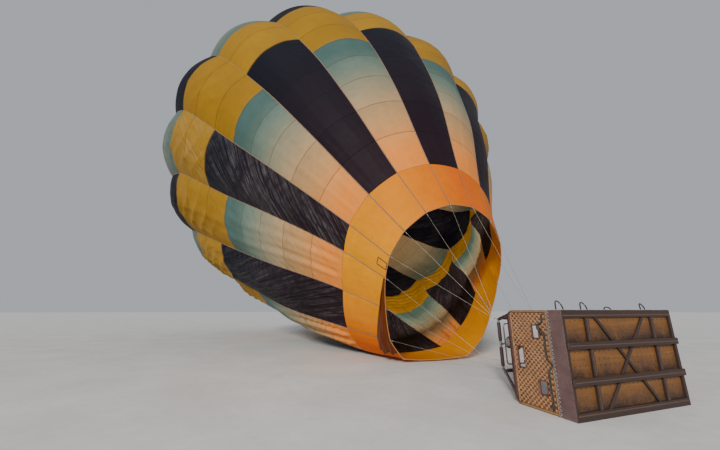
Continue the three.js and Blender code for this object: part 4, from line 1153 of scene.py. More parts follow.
BORDER_X, SKIRT_TOP, SKIRT_FOOT = -1.046, -1.785, -2.046
LOOP_COUNT = 420
POST_INSET, POST_RADIUS = 0.015, 0.0145
border, girth_length = loop(BORDER_X, OUTER_Y - WALL_MIDDLE, WIDTH / 2 - SKIRT_THICK - WALL_MIDDLE, 0.05,
                            LOOP_COUNT)
low_border = loop(SKIRT_TOP + 0.018, HALF_LENGTH - 0.012, WIDTH / 2 - 0.012, 0.04, LOOP_COUNT)[0]
posts = [[(x, sign_y * (OUTER_Y - POST_INSET), WIDTH / 2 + sign_z * (WIDTH / 2 - SKIRT_THICK - POST_INSET))
          for x in np.linspace(FLOOR_TOP, WALL_TOP, 12)] for sign_y in (-1, 1) for sign_z in (-1, 1)]
borders = merged(plait(border, 0.009, 0.0085, 3, 0.12), plait(low_border, 0.008, 0.0075, 3, 0.1),
                 sweep(posts, POST_RADIUS, 10, up=(0, 1, 0)))
piece("cane_borders", borders, "basket", CANE_BORDER)

HOLE_CORNER, HOLE_FRAME = 0.02, (0.009, 0.0205)
hole_frames = []
for side in (1, -1):
    for x_low, x_high, z_low, z_high in HOLES:
        ring = rounded((x_high - x_low) / 2, (z_high - z_low) / 2, HOLE_CORNER, 7)
        path = np.stack([ring[:, 0] + (x_low + x_high) / 2, 0 * ring[:, 0] + side * (OUTER_Y - WALL_MIDDLE),
                         ring[:, 1] + (z_low + z_high) / 2], 1)
        hole_frames.append(sweep(path, HOLE_FRAME, 12, up=(0, 1, 0), closed=True))
piece("step_hole_frames", merged(*hole_frames), "basket", HOLE_HIDE)
print("basket girth:", round(girth_length, 2), "m")

# %% Suede skirt and its lacing
SKIRT_COUNT, SKIRT_ROWS, SCALLOP, SCALLOP_DEPTH = 560, 15, 0.11, 0.016
skirt_path, skirt_girth = loop(0.0, HALF_LENGTH + 0.004, WIDTH / 2 + 0.004, 0.02, SKIRT_COUNT)
around = np.arange(SKIRT_COUNT) * skirt_girth / SKIRT_COUNT
scallops = int(round(skirt_girth / SCALLOP))
edge = SKIRT_TOP - SCALLOP_DEPTH * (1 - np.abs(np.sin(np.pi * scallops * around / skirt_girth)) ** 0.7)
up_skirt = np.linspace(0, 1, SKIRT_ROWS)[:, None]
skirt_x = SKIRT_FOOT + (edge[None, :] - SKIRT_FOOT) * up_skirt
away = unit(np.cross(np.roll(skirt_path, -1, 0) - np.roll(skirt_path, 1, 0), (1, 0, 0)))
swell = 0.0008 * np.sin(around * 13) + 0.0006 * np.sin(around * 31 + 2.0 * up_skirt)
skirt_points = skirt_path[None] + swell[..., None] * away[None]
skirt_points[..., 0] = skirt_x
cells, corners = grid_faces(SKIRT_ROWS, SKIRT_COUNT, wrap=True)
uv = np.stack([around[corners[..., 1] % SKIRT_COUNT], corners[..., 0] * 0.3 / SKIRT_ROWS], -1)
suede = (skirt_points, cells[:, ::-1], uv[:, ::-1].reshape(-1, 2))
skirt = piece("suede_skirt", suede, "basket", SUEDE)
solid = skirt.modifiers.new("suede thickness", "SOLIDIFY")
solid.thickness, solid.offset = 0.003, -1
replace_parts(skirt, "leather_skirt")

LACE_COUNT, LACE_TURNS, LACE_SWING, LACE_SIZE = 1050, 150, 0.028, (0.0036, 0.0028)
stitches = loop(0.0, HALF_LENGTH + 0.006, WIDTH / 2 + 0.006, 0.024, LACE_COUNT)[0]
steps_round = np.arange(LACE_COUNT) / LACE_COUNT
zigzag = np.arcsin(np.sin(2 * np.pi * LACE_TURNS * steps_round)) / (np.pi / 2)
stitches[:, 0] = SKIRT_TOP - 0.018 + LACE_SWING * zigzag
lacing = sweep(stitches, LACE_SIZE, 6, up=(1, 0, 0), closed=True)
piece("skirt_lacing", lacing, "basket", LACE)
print("skirt:", round(skirt_girth, 2), "m round,", scallops, "scallops")

# %% [markdown]
# ## Padded rim and uprights
# The rim and the four uprights are padded with foam and covered in leather, sewn closed along one side. The
# uprights hold the load frame over the basket while it stands, and here, with the basket on its side, they
# reach out level from the rim.

# %% Rim
# The rim is gathered a little at each seam, and swells and sinks a little between them.
RIM_X, RIM_TUBE, RIM_ROUND = -0.99, 0.04, 0.09
RIM_SEAMS, RIM_WAVES, GATHERED, UNEVEN = 22, 31, 0.045, 0.012
rim_path, rim_girth = loop(RIM_X, HALF_LENGTH - RIM_TUBE, WIDTH / 2 - RIM_TUBE, RIM_ROUND, LOOP_COUNT)
rim_way = np.arange(LOOP_COUNT) / LOOP_COUNT
lumps = (1 - GATHERED * np.abs(np.cos(np.pi * RIM_SEAMS * rim_way)) ** 14
         + UNEVEN * np.sin(2 * np.pi * RIM_WAVES * rim_way))
roll = sweep(rim_path, (RIM_TUBE * lumps)[:, None], 24, up=(1, 0, 0), closed=True)
rim = piece("rim_padding", roll, "basket", RIM_HIDE)
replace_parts(rim, "rim")

SEAM_COUNT, SEAM_STITCHES, STITCH_RADIUS, STITCH_SWING = 960, 240, 0.0016, 0.003
seam_path = loop(RIM_X - 0.02, HALF_LENGTH - 0.005, WIDTH / 2 - 0.005, RIM_ROUND + 0.035, SEAM_COUNT)[0]
seam_way = (np.arange(SEAM_COUNT) + 0.5) / SEAM_COUNT
seam_path[:, 0] += STITCH_SWING * np.arcsin(np.sin(2 * np.pi * SEAM_STITCHES * seam_way))
stitching = sweep(seam_path, STITCH_RADIUS, 6, up=(1, 0, 0), closed=True)
piece("rim_stitching", stitching, "basket", RIM_THREAD)
print("rim:", round(rim_girth, 2), "m round")

# %% Uprights
POLE_RADIUS, POLE_INSET = 0.03, RIM_TUBE + RIM_ROUND * 0.3
STRAP_PLACES, STRAP_SIZE = (0.12, 0.5, 0.88), (0.002, 0.012)
# A padded sleeve is drawn in at both ends: by what share, and over what part of its length.
END_DRAW, END_REACH = 0.12, 0.02
straps, pipes = [], []
for name, (sign_y, sign_z) in CORNERS.items():
    top = frame_corner(sign_y, sign_z)
    foot = np.array([RIM_X, sign_y * (HALF_LENGTH - POLE_INSET),
                     WIDTH / 2 + sign_z * (WIDTH / 2 - POLE_INSET)])
    down = unit(foot - top)
    top, foot = top + down * (FRAME_TUBE + 0.004), foot - down * (RIM_TUBE - 0.006)
    way = np.linspace(0, 1, 40)
    path = top + (foot - top) * way[:, None]
    drawn_in = END_DRAW * (np.exp(-way / END_REACH) + np.exp((way - 1) / END_REACH))
    bulge = POLE_RADIUS * (0.95 - drawn_in + 0.03 * np.sin(way * 21))
    outward_side = unit(np.cross(np.cross(down, [0, sign_y, sign_z]), down))
    beside = np.cross(outward_side, down)
    sleeve = sweep(path, bulge[:, None], 20, up=outward_side)
    pole = piece(f"upright_padding_{name}", sleeve, "basket", POLE_HIDE)
    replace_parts(pole, f"upright_{name}")
    pipes.append(path + beside * (bulge[:, None] + 0.001))
    turn = circle(24)[:, None]
    round_pole = (np.cos(turn) * outward_side + np.sin(turn) * beside) * (POLE_RADIUS + 0.001)
    straps += [sweep(top + (foot - top) * place + round_pole, STRAP_SIZE, 8, up=down, closed=True)
               for place in STRAP_PLACES]
print("upright:", round(float(np.linalg.norm(foot - top)), 2), "m long")

# %% Frame padding, piping and straps
# Pads lie on the frame's straight lengths, and leave its corners and the pins' collars clear.
SLEEVE_PAD, BOSS_CLEAR, ROUND_CLEAR, PAD_COUNT = 0.036, 0.06, 0.09, 24
PIPING_RADIUS, PIPING_RAISE, PIPING_FORWARD = 0.0035, 0.031, 0.02
FRAME_MIDDLE = np.array([0, 0, FRAME_Z])
low_end, high_end = FRAME_Z - FRAME_HALF_Z + ROUND_CLEAR, FRAME_Z + FRAME_HALF_Z - ROUND_CLEAR
sleeves = []
for sign in (1, -1):
    for low, high in ((low_end, FRAME_Z - BOSS_CLEAR), (FRAME_Z + BOSS_CLEAR, high_end)):
        z = np.linspace(low, high, PAD_COUNT)
        sleeves.append(np.stack([0 * z, 0 * z + sign * FRAME_HALF_Y, z], 1))
    y = np.linspace(-FRAME_HALF_Y + ROUND_CLEAR, FRAME_HALF_Y - ROUND_CLEAR, PAD_COUNT)
    sleeves.append(np.stack([0 * y, y, 0 * y + FRAME_Z + sign * FRAME_HALF_Z], 1))
pad_way = np.linspace(0, 1, PAD_COUNT)
plump = 1 - 0.22 * (np.exp(-pad_way / 0.03) + np.exp((pad_way - 1) / 0.03))
pads = sweep(np.stack(sleeves), (SLEEVE_PAD * plump)[:, None], 20, up=(1, 0, 0))
frame_pads = piece("frame_padding", pads, "basket", POLE_HIDE)

for path in sleeves:
    even = np.stack([np.interp(way, pad_way, path[:, axis]) for axis in range(3)], 1)
    away = unit(path[:1] - FRAME_MIDDLE) * [0, 1, 1] * (np.abs(path[0] - FRAME_MIDDLE) > 0.5)
    pipes.append(even + [PIPING_FORWARD, 0, 0] + PIPING_RAISE * away)
piece("upright_piping", sweep(np.stack(pipes), PIPING_RADIUS, 8, up=(0.1, 0.4, 1)), "basket", PIPING)
piece("upright_straps", merged(*straps), "basket", RIM_HIDE)
print("frame pads:", len(sleeves), "pipes:", len(pipes), "straps:", len(straps))

# %% [markdown]
# ## Base
# The floor is plywood on a hardwood frame: long rails at the edges, two ribs, two thin braces that cross,
# and two heavy runners that the basket slides on when it is pulled over. Runners are worn round, rails
# carry a paler groove, and rows of screw heads hold the ply.

# %% Floor, frame and runners
FLOOR_LOW, BASE_LOW, RUNNER_LOW = -2.0097, -2.05, -2.0863
FRAME_TOP = -2.01
RAIL, RIB, BRACE, RIB_Y, BRACE_Y = 0.11, 0.066, 0.048, 0.78, 0.62
BRACE_SHORT, BRACE_SUNK, BRACE_LAP, RIB_GAP = 0.05, 0.008, 0.004, 0.0005
RUNNER_WIDTH, RUNNER_OFFSET = 0.104, 0.245
RUNNERS = {"upper": WIDTH / 2 + RUNNER_OFFSET, "lower": WIDTH / 2 - RUNNER_OFFSET}
ply = blocks("plywood_floor", [cuboid((FLOOR_LOW, -HALF_LENGTH, 0), (FLOOR_TOP - SEAT, HALF_LENGTH, WIDTH))],
             "basket", PLYWOOD, 0.003)
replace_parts(ply, "floor_board")

members = [cuboid((BASE_LOW, -HALF_LENGTH, low), (FRAME_TOP, HALF_LENGTH, low + RAIL))
           for low in (0, WIDTH - RAIL)]
members += [cuboid((BASE_LOW, y - half, RAIL + RIB_GAP), (FRAME_TOP, y + half, WIDTH - RAIL - RIB_GAP))
            for y, half in ((-RIB_Y, RIB / 2), (RIB_Y, RIB / 2),
                            (-HALF_LENGTH + RAIL / 4, RAIL / 4), (HALF_LENGTH - RAIL / 4, RAIL / 4))]
brace_rise, brace_reach = WIDTH - RAIL, 2 * BRACE_Y
brace_half = np.hypot(brace_rise, brace_reach) / 2 - BRACE_SHORT
for sign, sunk in ((1, BRACE_SUNK), (-1, BRACE_SUNK + BRACE_LAP)):
    members.append(cuboid((BASE_LOW + sunk, -brace_half, WIDTH / 2 - BRACE / 2),
                          (FRAME_TOP - 0.001, brace_half, WIDTH / 2 + BRACE / 2),
                          turn=sign * np.arctan2(brace_rise, brace_reach)))
base = blocks("base_rails", members, "basket", RAIL_WOOD, 0.006)
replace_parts(base, "base_frame")

for name, z in RUNNERS.items():
    bar = cuboid((RUNNER_LOW, -HALF_LENGTH, z - RUNNER_WIDTH / 2),
                 (BASE_LOW - SEAT, HALF_LENGTH, z + RUNNER_WIDTH / 2))
    runner = blocks(f"skid_{name}", [bar], "basket", RAIL_WOOD, 0.012)
    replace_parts(runner, f"runner_{name}")
print("base members:", len(members) + len(RUNNERS))

# %% Grooves
GROOVE_HALF, GROOVE_PROUD, GROOVE_SUNK, BAY_INSET = 0.008, 0.0025, 0.002, 0.01
runner_edges = [z + side * RUNNER_WIDTH / 2 for z in sorted(RUNNERS.values()) for side in (-1, 1)]
bay_edges = [RAIL, *runner_edges, WIDTH - RAIL]
bays = [(low + BAY_INSET, high - BAY_INSET) for low, high in zip(bay_edges[::2], bay_edges[1::2])]


def groove(face, y_low, y_high, z_low, z_high):
    """A worn strip that stands a little proud of a rail's face."""
    return cuboid((face - GROOVE_PROUD, y_low, z_low), (face + GROOVE_SUNK, y_high, z_high))


grooves = [groove(BASE_LOW, 0.02 - HALF_LENGTH, HALF_LENGTH - 0.02, z - GROOVE_HALF, z + GROOVE_HALF)
           for z in (RAIL * 0.68, WIDTH - RAIL * 0.68)]
grooves += [groove(BASE_LOW, y - GROOVE_HALF, y + GROOVE_HALF, low, high)
            for y in (-RIB_Y, RIB_Y) for low, high in bays]
grooves += [groove(RUNNER_LOW, 0.03 - HALF_LENGTH, HALF_LENGTH - 0.03, z - GROOVE_HALF, z + GROOVE_HALF)
            for z in RUNNERS.values()]
blocks("rail_grooves", grooves, "basket", GROOVE_WOOD, 0.002)
print("grooves:", len(grooves))

# %% Screws


def domes(places, axis, radius, height, sides=10):
    """Low screw heads: rings at radius x cos a and height x sin a above each place."""
    places, axis = np.asarray(places, float), unit(np.asarray(axis, float))
    side = unit(np.cross(axis, (0.2, 0.5, 0.8)))
    other = np.cross(axis, side)
    turn, rise = circle(sides)[:, None], np.array([0.0, 0.5, 1.05])[:, None, None]
    ring = radius * np.cos(rise) * (np.cos(turn) * side + np.sin(turn) * other) + height * np.sin(rise) * axis
    points = places[:, None] + np.concatenate([ring.reshape(-1, 3), [height * axis]])
    cells = grid_faces(3, sides, wrap=True)[0][:, ::-1].tolist()
    top = [[2 * sides + (k + 1) % sides, 3 * sides, 2 * sides + k] for k in range(sides)]
    shift = 3 * sides + 1
    faces = [[corner + shift * k for corner in face] for k in range(len(places)) for face in cells + top]
    return points.reshape(-1, 3), faces, np.zeros((sum(map(len, faces)), 2))


def off_rib(row):
    """The places of a row that a rib doesn't cover."""
    return [y for y in row if abs(abs(y) - RIB_Y) > 0.05]


SCREW_RADIUS, SCREW_HEIGHT, SCREW_INSET = 0.0095, 0.003, 0.035
# Rows of screws: the face that they stand on, their places along, and the heights of the row.
SCREW_ROWS = (
    (FLOOR_LOW, off_rib(np.linspace(-HALF_LENGTH + 0.1, HALF_LENGTH - 0.1, 24)),
     [z for low, high in bays for z in (low + SCREW_INSET, high - SCREW_INSET)]),
    (FLOOR_LOW, off_rib(np.linspace(-1.15, 1.15, 22)), (0.7, 0.79)),
    (FLOOR_LOW, (-1.0, -0.45, -0.15, 0.45, 0.62, 1.0, 1.15), (0.3, 1.2)),
    (BASE_LOW, np.linspace(-1.2, 1.2, 9), (RAIL * 0.3, WIDTH - RAIL * 0.3)),
    (RUNNER_LOW, np.linspace(-1.15, 1.15, 7),
     [z + side * 0.03 for z in RUNNERS.values() for side in (-1, 1)]),
)
screws = [(face, y, z) for face, row, heights in SCREW_ROWS for y in row for z in heights]
heads = domes(screws, (-1, 0, 0), SCREW_RADIUS, SCREW_HEIGHT)
piece("screw_heads", heads, "basket", RUSTED)
print("screws:", len(screws))

# %% [markdown]
# ## Ropes on the basket
# Black handling ropes are laced through the wicker. Four short loops stand on the side that is uppermost
# here, two at the far end, and on the near end a rope runs down beside the skirt, with two bights and a
# knot.

# %% Handles
ROPE_RADIUS = 0.011
# Loops on the uppermost side: place along, half width and height. Those on the far end are all alike.
HANDLES = ((0.91, 0.08, 0.15), (0.35, 0.075, 0.13), (-0.23, 0.09, 0.055), (-1.18, 0.06, 0.12))
HANDLE_X, END_X, END_HALF, END_HEIGHT, SUNK = -1.72, -1.74, 0.085, 0.045, 0.004
TURNED_IN, DROOP = 0.12, 0.26


def handle(middle, along, out, half, height):
    """A loop of rope: half x cos a along, height x sin a out, its ends turned into the wicker and its middle
    hanging to one side by droop x height x sin a squared."""
    turn = np.linspace(-TURNED_IN, np.pi + TURNED_IN, 28)[:, None]
    droop = DROOP * height * np.sin(turn) ** 2
    along, out = np.asarray(along, float), np.asarray(out, float)
    return middle + half * np.cos(turn) * along + height * np.sin(turn) * out + droop * np.cross(along, out)


loops = [handle((HANDLE_X, y, WIDTH - SUNK), (0, 1, 0), (0, 0, 1), half, height)
         for y, half, height in HANDLES]
loops += [handle((END_X, SUNK - HALF_LENGTH, z), (0, 0, 1), (0, -1, 0), END_HALF, END_HEIGHT)
          for z in (0.4, 1.1)]
ropes = [sweep(path, ROPE_RADIUS, 10, up=(0.3, 0.5, 0.8)) for path in loops]
print("handles:", len(loops))

# %% Laced rope and knot
# Two bights: each bends the rope by depth x exp(-((height - middle) / reach) ^ power).
NEAR = HALF_LENGTH + 0.012
LACED_X, LACED_TOP, LACED_FOOT = -1.712, 1.45, 0.12
way = np.linspace(0, 1, 160)[:, None]
down = LACED_TOP + (LACED_FOOT - LACED_TOP) * way
bights = 0.12 * np.exp(-((down - 1.24) / 0.065) ** 4) - 0.075 * np.exp(-((down - 0.7) / 0.055) ** 2)
laced = np.concatenate([LACED_X + bights + 0.004 * np.sin(way * 19), NEAR + 0.003 * np.sin(way * 40),
                        down], 1)
ropes.append(sweep(laced, ROPE_RADIUS, 10, up=(0.2, 1, 0.1)))
turn = np.linspace(0, 4 * np.pi, 60)
knot = np.stack([LACED_X + 0.02 * np.sin(turn * 1.5), NEAR + 0.006 + 0.012 * np.cos(turn),
                 LACED_FOOT + 0.026 * np.sin(turn)], 1)
ropes.append(sweep(knot, ROPE_RADIUS, 10, up=(0.4, 0.1, 1)))
piece("handling_ropes", merged(*ropes), "basket", BLACK_ROPE)
print("ropes:", len(ropes))

# %% [markdown]
# ## Fuel cylinders
# Four aluminium cylinders stand in the basket's far end, held to the wall by two straps each. Each has a
# welded waist seam, a foot ring, a guard collar, a valve and a gauge on top.

# %% Cylinder shapes
CYLINDER_RADIUS, CYLINDER_LENGTH, DOME_HEIGHT = 0.15, 0.78, 0.07
WAIST_HALF, WAIST_RAISE = 0.012, 0.0025
# Rings round a cylinder: outer radius, wall, lowest and highest place along it.
FOOT_RING = (0.12, 0.015, 0.0, 0.048)
COLLAR = (0.095, 0.014, CYLINDER_LENGTH - 0.016, CYLINDER_LENGTH + 0.09)
BELT_PLACES, BELT_SIZE, BUCKLE = (0.24, 0.66), (0.0015, 0.021), np.array([0.026, 0.02, 0.003])
CYLINDER_PLACES = [(y, z) for y in (-1.104, -0.521) for z in (0.1903, 1.3097)]
# Turned parts, each by its profile of (distance out, distance along).
TANK_VALVE = [(0, -0.01), (0.03, -0.01), (0.03, 0.012), (0.016, 0.016), (0.016, 0.045), (0.022, 0.048),
              (0.022, 0.056), (0, 0.06)]
TANK_OUTLET = [(0, 0), (0.01, 0), (0.01, 0.04), (0.014, 0.042), (0.014, 0.058), (0, 0.06)]
TANK_GAUGE = [(0, 0), (0.024, 0), (0.026, 0.004), (0.026, 0.014), (0.022, 0.016), (0.021, 0.013), (0, 0.013)]


def tank_profile():
    """Out and along: a quarter ellipse dome, a straight wall with a raised waist seam, and a dome again."""
    radius, curve, middle = CYLINDER_RADIUS, np.linspace(0, np.pi / 2, 12), CYLINDER_LENGTH / 2
    low = [(radius * np.sin(a), DOME_HEIGHT * (1 - np.cos(a)) + 0.012) for a in curve[:-1]]
    seam = [(radius, middle - WAIST_HALF), (radius + WAIST_RAISE, middle - 0.008),
            (radius + WAIST_RAISE, middle + 0.008), (radius, middle + WAIST_HALF)]
    high = [(radius * np.cos(a), CYLINDER_LENGTH - DOME_HEIGHT * (1 - np.sin(a))) for a in curve]
    return low + [(radius, DOME_HEIGHT + 0.02)] + seam + high


def hoop(x, y, z, radius, size, sides):
    """A band round a cylinder: a circle of 48 points across X, with half its thickness and height as size."""
    turn = circle(48)
    path = np.stack([0 * turn + x, y + radius * np.cos(turn), z + radius * np.sin(turn)], 1)
    return sweep(path, size, sides, up=(1, 0, 0), closed=True)


# %% Cylinders
tanks, valves, belts, dials = [], [], [], []
for y, z in CYLINDER_PLACES:
    tanks.append(lathe(tank_profile(), (FLOOR_TOP, y, z), (1, 0, 0), 48))
    tanks += [hoop(FLOOR_TOP + (low + high) / 2, y, z, radius - wall / 2, (wall / 2, (high - low) / 2), 16)
              for radius, wall, low, high in (FOOT_RING, COLLAR)]
    top = FLOOR_TOP + CYLINDER_LENGTH
    valves.append(lathe(TANK_VALVE, (top, y, z), (1, 0, 0), 20))
    valves.append(lathe(TANK_OUTLET, (top + 0.03, y, z), (0, 1, 0), 16))
    dials.append(lathe(TANK_GAUGE, (top + 0.012, y + 0.03, z - 0.045), (1, 0, 0), 24))
    for part in BELT_PLACES:
        x, radius = FLOOR_TOP + part * CYLINDER_LENGTH, CYLINDER_RADIUS + 0.002
        belts.append(hoop(x, y, z, radius, BELT_SIZE, 8))
        buckle = np.array([x, y, z + np.sign(WIDTH / 2 - z) * (radius + 0.004)])
        belts.append(cuboid(buckle - BUCKLE, buckle + BUCKLE))
tank = piece("cylinder_bodies", merged(*tanks), "basket", CYLINDER_ALLOY)
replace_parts(tank, "cylinder_1", "cylinder_2", "cylinder_3", "cylinder_4")
piece("cylinder_valves", merged(*valves), "basket", BRASS)
piece("cylinder_gauges", merged(*dials), "basket", FRAME_STEEL)
piece("cylinder_straps", merged(*belts), "basket", DARK_TAPE)
print("cylinders:", len(CYLINDER_PLACES))

# %% [markdown]
# ## Load frame, gimbal and burners
# The load frame is a bent tube with an eye plate at each corner for the shackles. Inside it a gimbal ring
# swings on two pins and carries the burner block on two more. Each burner is a shallow can under a coil in
# which the fuel boils, fed by a blast valve with a lever.

# %% Load frame
EYE_X, EYE_HALF_X, EYE_HALF_Z, EYE_WIRE, EYE_THICK = 0.05, 0.019, 0.0175, 0.0045, 0.005
BOSS_RADIUS, BOSS_LENGTH, BOSS_DEPTH = 0.022, 0.06, 0.034
PIN_RADIUS, PIN_BORE, PIN_REACH = 0.01, 0.0107, 0.026
CHAMFER = 0.002


def boss(face, axis):
    """A collar with a blind bore: its profile runs up the outside, over the lip and down the bore."""
    outer, inner, lip = BOSS_RADIUS, PIN_BORE, BOSS_LENGTH - CHAMFER
    return lathe([(0, -0.012), (outer - CHAMFER, -0.012), (outer, -0.01), (outer, lip),
                  (outer - CHAMFER, BOSS_LENGTH), (inner + CHAMFER, BOSS_LENGTH), (inner, lip),
                  (inner, BOSS_LENGTH - BOSS_DEPTH), (0, BOSS_LENGTH - BOSS_DEPTH)], face, axis, 32)


def pin(length, face, axis):
    """A pin that stands on a face, with its end chamfered."""
    return lathe([(0, 0), (PIN_RADIUS, 0), (PIN_RADIUS, length - CHAMFER), (PIN_RADIUS - CHAMFER, length),
                  (0, length)], face, axis, 24)


frame_line = loop(0, FRAME_HALF_Y, FRAME_HALF_Z, FRAME_CORNER, 260, FRAME_Z)[0]
shapes = [sweep(frame_line, FRAME_TUBE, 24, up=(1, 0, 0), closed=True)]
turn = circle(36)
for sign_y, sign_z in CORNERS.values():
    corner = frame_corner(sign_y, sign_z)
    eye = corner + np.stack([EYE_X + EYE_HALF_X * np.cos(turn), 0 * turn, EYE_HALF_Z * np.sin(turn)], 1)
    shapes.append(sweep(eye, (EYE_WIRE, EYE_THICK), 12, up=(0, 1, 0), closed=True))
    shapes.append(cuboid(corner - (-0.012, EYE_THICK, 0.018), corner + (0.033, EYE_THICK, 0.018)))
shapes += [boss((0, sign * FRAME_HALF_Y, FRAME_Z), (0, -sign, 0)) for sign in (1, -1)]
load_frame = piece("load_frame_tube", merged(*shapes), "basket", FRAME_STEEL)
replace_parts(load_frame, "load_frame")
print("frame corners:", len(CORNERS))

# %% Gimbal ring
GIMBAL_HALF_Y, GIMBAL_HALF_Z, GIMBAL_TUBE, GIMBAL_CORNER = 0.48, 0.4, 0.014, 0.06
gimbal_line = loop(0, GIMBAL_HALF_Y, GIMBAL_HALF_Z, GIMBAL_CORNER, 220, FRAME_Z)[0]
shapes = [sweep(gimbal_line, GIMBAL_TUBE, 20, up=(1, 0, 0), closed=True)]
pin_length = FRAME_HALF_Y - BOSS_LENGTH + PIN_REACH - GIMBAL_HALF_Y
for sign in (1, -1):
    shapes.append(pin(pin_length, (0, sign * GIMBAL_HALF_Y, FRAME_Z), (0, sign, 0)))
    shapes.append(boss((0, 0, FRAME_Z + sign * GIMBAL_HALF_Z), (0, 0, -sign)))
gimbal_ring = piece("gimbal_ring", merged(*shapes), "gimbal", FRAME_STEEL)
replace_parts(gimbal_ring, "gimbal")
print("pin length:", round(pin_length, 3), "m")

# %% Burner block
BLOCK_BACK, BLOCK_FRONT, BLOCK_HALF_Y, BLOCK_HALF_Z, BEAM = -0.066, -0.01, 0.3, 0.32, 0.036
CAN_Y = 0.17
VALVE_REACH, VALVE_HALF = 0.07, 0.03
beams = [cuboid((BLOCK_BACK, -BLOCK_HALF_Y, FRAME_Z - BEAM), (BLOCK_FRONT, BLOCK_HALF_Y, FRAME_Z + BEAM)),
         cuboid((BLOCK_BACK, -BEAM / 2, FRAME_Z - BLOCK_HALF_Z),
                (PIN_RADIUS, BEAM / 2, FRAME_Z + BLOCK_HALF_Z))]
beams += [cuboid((BLOCK_BACK - VALVE_REACH, sign * CAN_Y - VALVE_HALF, FRAME_Z - VALVE_HALF),
                 (BLOCK_BACK + 0.001, sign * CAN_Y + VALVE_HALF, FRAME_Z + VALVE_HALF)) for sign in (1, -1)]
block = blocks("burner_beams", beams, "burner", BURNER_STEEL, 0.005)
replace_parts(block, "burner_block")
print("beams and valves:", len(beams))

# %% Valves, levers and bolts
LEVER_RADIUS, PIPE_BEND, GRIP_PLACE = 0.006, 0.018, 0.42
BOLT_RADIUS, BOLT_HEIGHT, BOLT_SPACING = 0.006, 0.003, 0.02
# Turned parts, each by its profile of (distance out, distance along).
GRIP_PROFILE = [(0, 0), (0.007, 0), (0.009, 0.006), (0.009, 0.03), (0.0075, 0.034), (0.009, 0.038),
                (0.009, 0.07), (0.006, 0.076), (0, 0.077)]
VALVE_CAP = [(0, 0), (0.014, 0), (0.014, 0.02), (0.01, 0.024), (0.01, 0.04), (0, 0.042)]
FUEL_GAUGE = [(0, 0), (0.022, 0), (0.024, 0.003), (0.024, 0.014), (0.02, 0.017), (0.019, 0.014), (0, 0.014)]
fittings, grips, bolts = [], [], []
pin_start = BLOCK_HALF_Z - BEAM
pin_length = GIMBAL_HALF_Z - BOSS_LENGTH + PIN_REACH - pin_start
for sign in (1, -1):
    y = sign * CAN_Y
    fittings.append(pin(pin_length, (0, 0, FRAME_Z + sign * pin_start), (0, 0, sign)))
    root = np.array([BLOCK_BACK - 0.05, y, FRAME_Z])
    lever = np.array([BLOCK_BACK - 0.15, y + sign * 0.06, FRAME_Z - 0.09]) - root
    fittings.append(sweep(root + lever * np.linspace(0, 1, 14)[:, None], LEVER_RADIUS, 12, up=(0.2, 0.3, 1)))
    grips.append(lathe(GRIP_PROFILE, root + lever * GRIP_PLACE, lever, 20))
    fittings.append(lathe(VALVE_CAP, (BLOCK_BACK - 0.03, y + sign * VALVE_HALF, FRAME_Z), (0, sign, 0), 20))
    fittings.append(lathe(FUEL_GAUGE, (BLOCK_BACK - 0.035, y, FRAME_Z + VALVE_HALF), (0, 0, 1), 24))
    bolts += [(BLOCK_BACK, sign * across, FRAME_Z + up)
              for across in (0.05, 0.24, 0.28) for up in (-BOLT_SPACING, BOLT_SPACING)]
pipe_way = np.linspace(0, 1, 40)[:, None]
pipe_half = CAN_Y - VALVE_HALF
crossover = np.array([BLOCK_BACK - 0.035, -pipe_half, FRAME_Z]) + pipe_way * [0, 2 * pipe_half, 0]
crossover = crossover - np.sin(np.pi * pipe_way) ** 0.5 * [PIPE_BEND, 0, 0]
fittings.append(sweep(crossover, LEVER_RADIUS, 12, up=(0, 0, 1)))
piece("burner_fittings", merged(*fittings), "burner", BRASS)
piece("lever_grips", merged(*grips), "burner", GRIP)
heads = domes(bolts, (-1, 0, 0), BOLT_RADIUS, BOLT_HEIGHT)
piece("burner_bolts", heads, "burner", FRAME_STEEL)
print("fittings:", len(fittings), "bolts:", len(bolts))

# %% Cans and coils
CAN_RADIUS, CAN_WALL, CAN_HEIGHT, CAN_ROUND, CAN_LIP = 0.14, 0.006, 0.07, 0.01, 0.0025
COIL_RADIUS, COIL_TUBE, COIL_TURNS, COIL_PITCH = 0.117, 0.009, 6, 0.036
STAY_ANGLES, STAY_RADIUS = (0.6, 2.7, 4.8), 0.003
CAN_INNER = CAN_RADIUS - CAN_WALL
CAN_PROFILE = [(0, 0), (CAN_RADIUS - CAN_ROUND, 0), (CAN_RADIUS, CAN_ROUND),
               (CAN_RADIUS, CAN_HEIGHT - CAN_LIP), (CAN_RADIUS - CAN_LIP, CAN_HEIGHT),
               (CAN_INNER + CAN_LIP / 2, CAN_HEIGHT), (CAN_INNER, CAN_HEIGHT - CAN_LIP),
               (CAN_INNER, CAN_WALL + CAN_ROUND), (CAN_INNER - CAN_ROUND, CAN_WALL), (0, CAN_WALL)]
JETS, JET_RING = 12, 0.06
JET_PROFILE = [(0, 0), (0.009, 0), (0.009, 0.016), (0.004, 0.02), (0, 0.02)]
PILOT_PROFILE = [(0, 0), (0.02, 0), (0.02, 0.03), (0.012, 0.034), (0.012, 0.05), (0, 0.052)]


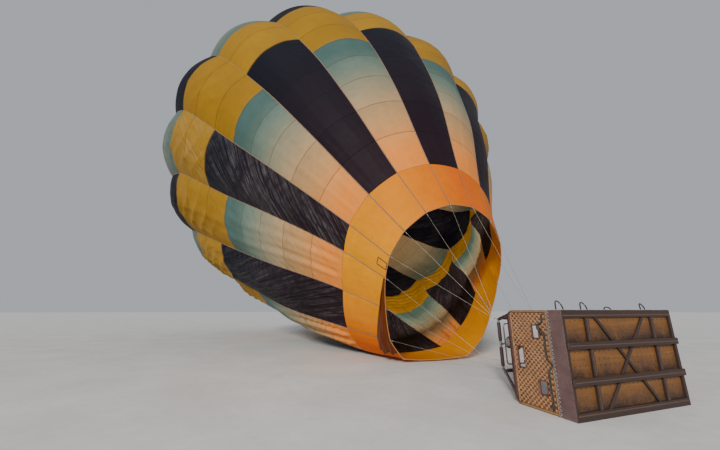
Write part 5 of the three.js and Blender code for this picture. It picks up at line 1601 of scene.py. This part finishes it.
def round_can(centre, x, radius, angle):
    """Points at x along and at a radius and angle round a can's middle."""
    across, up = centre[1] + radius * np.cos(angle), centre[2] + radius * np.sin(angle)
    return np.stack(np.broadcast_arrays(x, across, up), -1)


can_x = BLOCK_FRONT + SEAT
coil_x = can_x + CAN_WALL + COIL_TUBE * np.cos(np.pi / 6) + SEAT
way = np.linspace(0, COIL_TURNS, COIL_TURNS * 40 + 1)
for name, sign in (("near", 1), ("far", -1)):
    centre = (can_x, sign * CAN_Y, FRAME_Z)
    can = piece(f"burner_shell_{name}", lathe(CAN_PROFILE, centre, (1, 0, 0), 64), "burner", BURNER_STEEL)
    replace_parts(can, f"burner_can_{name}")
    helix = round_can(centre, coil_x + way * COIL_PITCH, COIL_RADIUS, 2 * np.pi * way)
    stay_x = np.linspace(can_x + CAN_WALL, coil_x + COIL_TURNS * COIL_PITCH, 4)
    stays = [round_can(centre, stay_x, COIL_RADIUS - COIL_TUBE - STAY_RADIUS, angle) for angle in STAY_ANGLES]
    wound = merged(sweep(helix, COIL_TUBE, 12, up=(1, 0, 0)), sweep(stays, STAY_RADIUS, 8, up=(0, 0.3, 1)))
    coil = piece(f"boiling_coil_{name}", wound, "burner", COIL_STEEL)
    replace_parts(coil, f"burner_coil_{name}")
    jets = [lathe(JET_PROFILE, place, (1, 0, 0), 12)
            for place in round_can(centre, can_x + CAN_WALL, JET_RING, circle(JETS))]
    jets.append(lathe(PILOT_PROFILE, (can_x + CAN_WALL, sign * CAN_Y, FRAME_Z), (1, 0, 0), 20))
    piece(f"jet_ring_{name}", merged(*jets), "burner", BRASS)
print("burner jets:", 2 * JETS)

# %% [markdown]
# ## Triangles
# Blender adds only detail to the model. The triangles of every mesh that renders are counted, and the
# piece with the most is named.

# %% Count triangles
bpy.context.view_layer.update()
triangles = {obj.name: sum(len(face.vertices) - 2 for face in obj.data.polygons)
             for obj in bpy.data.objects if obj.type == "MESH" and not obj.hide_render}
print("triangles:", sum(triangles.values()), "largest:", max(triangles, key=triangles.get))
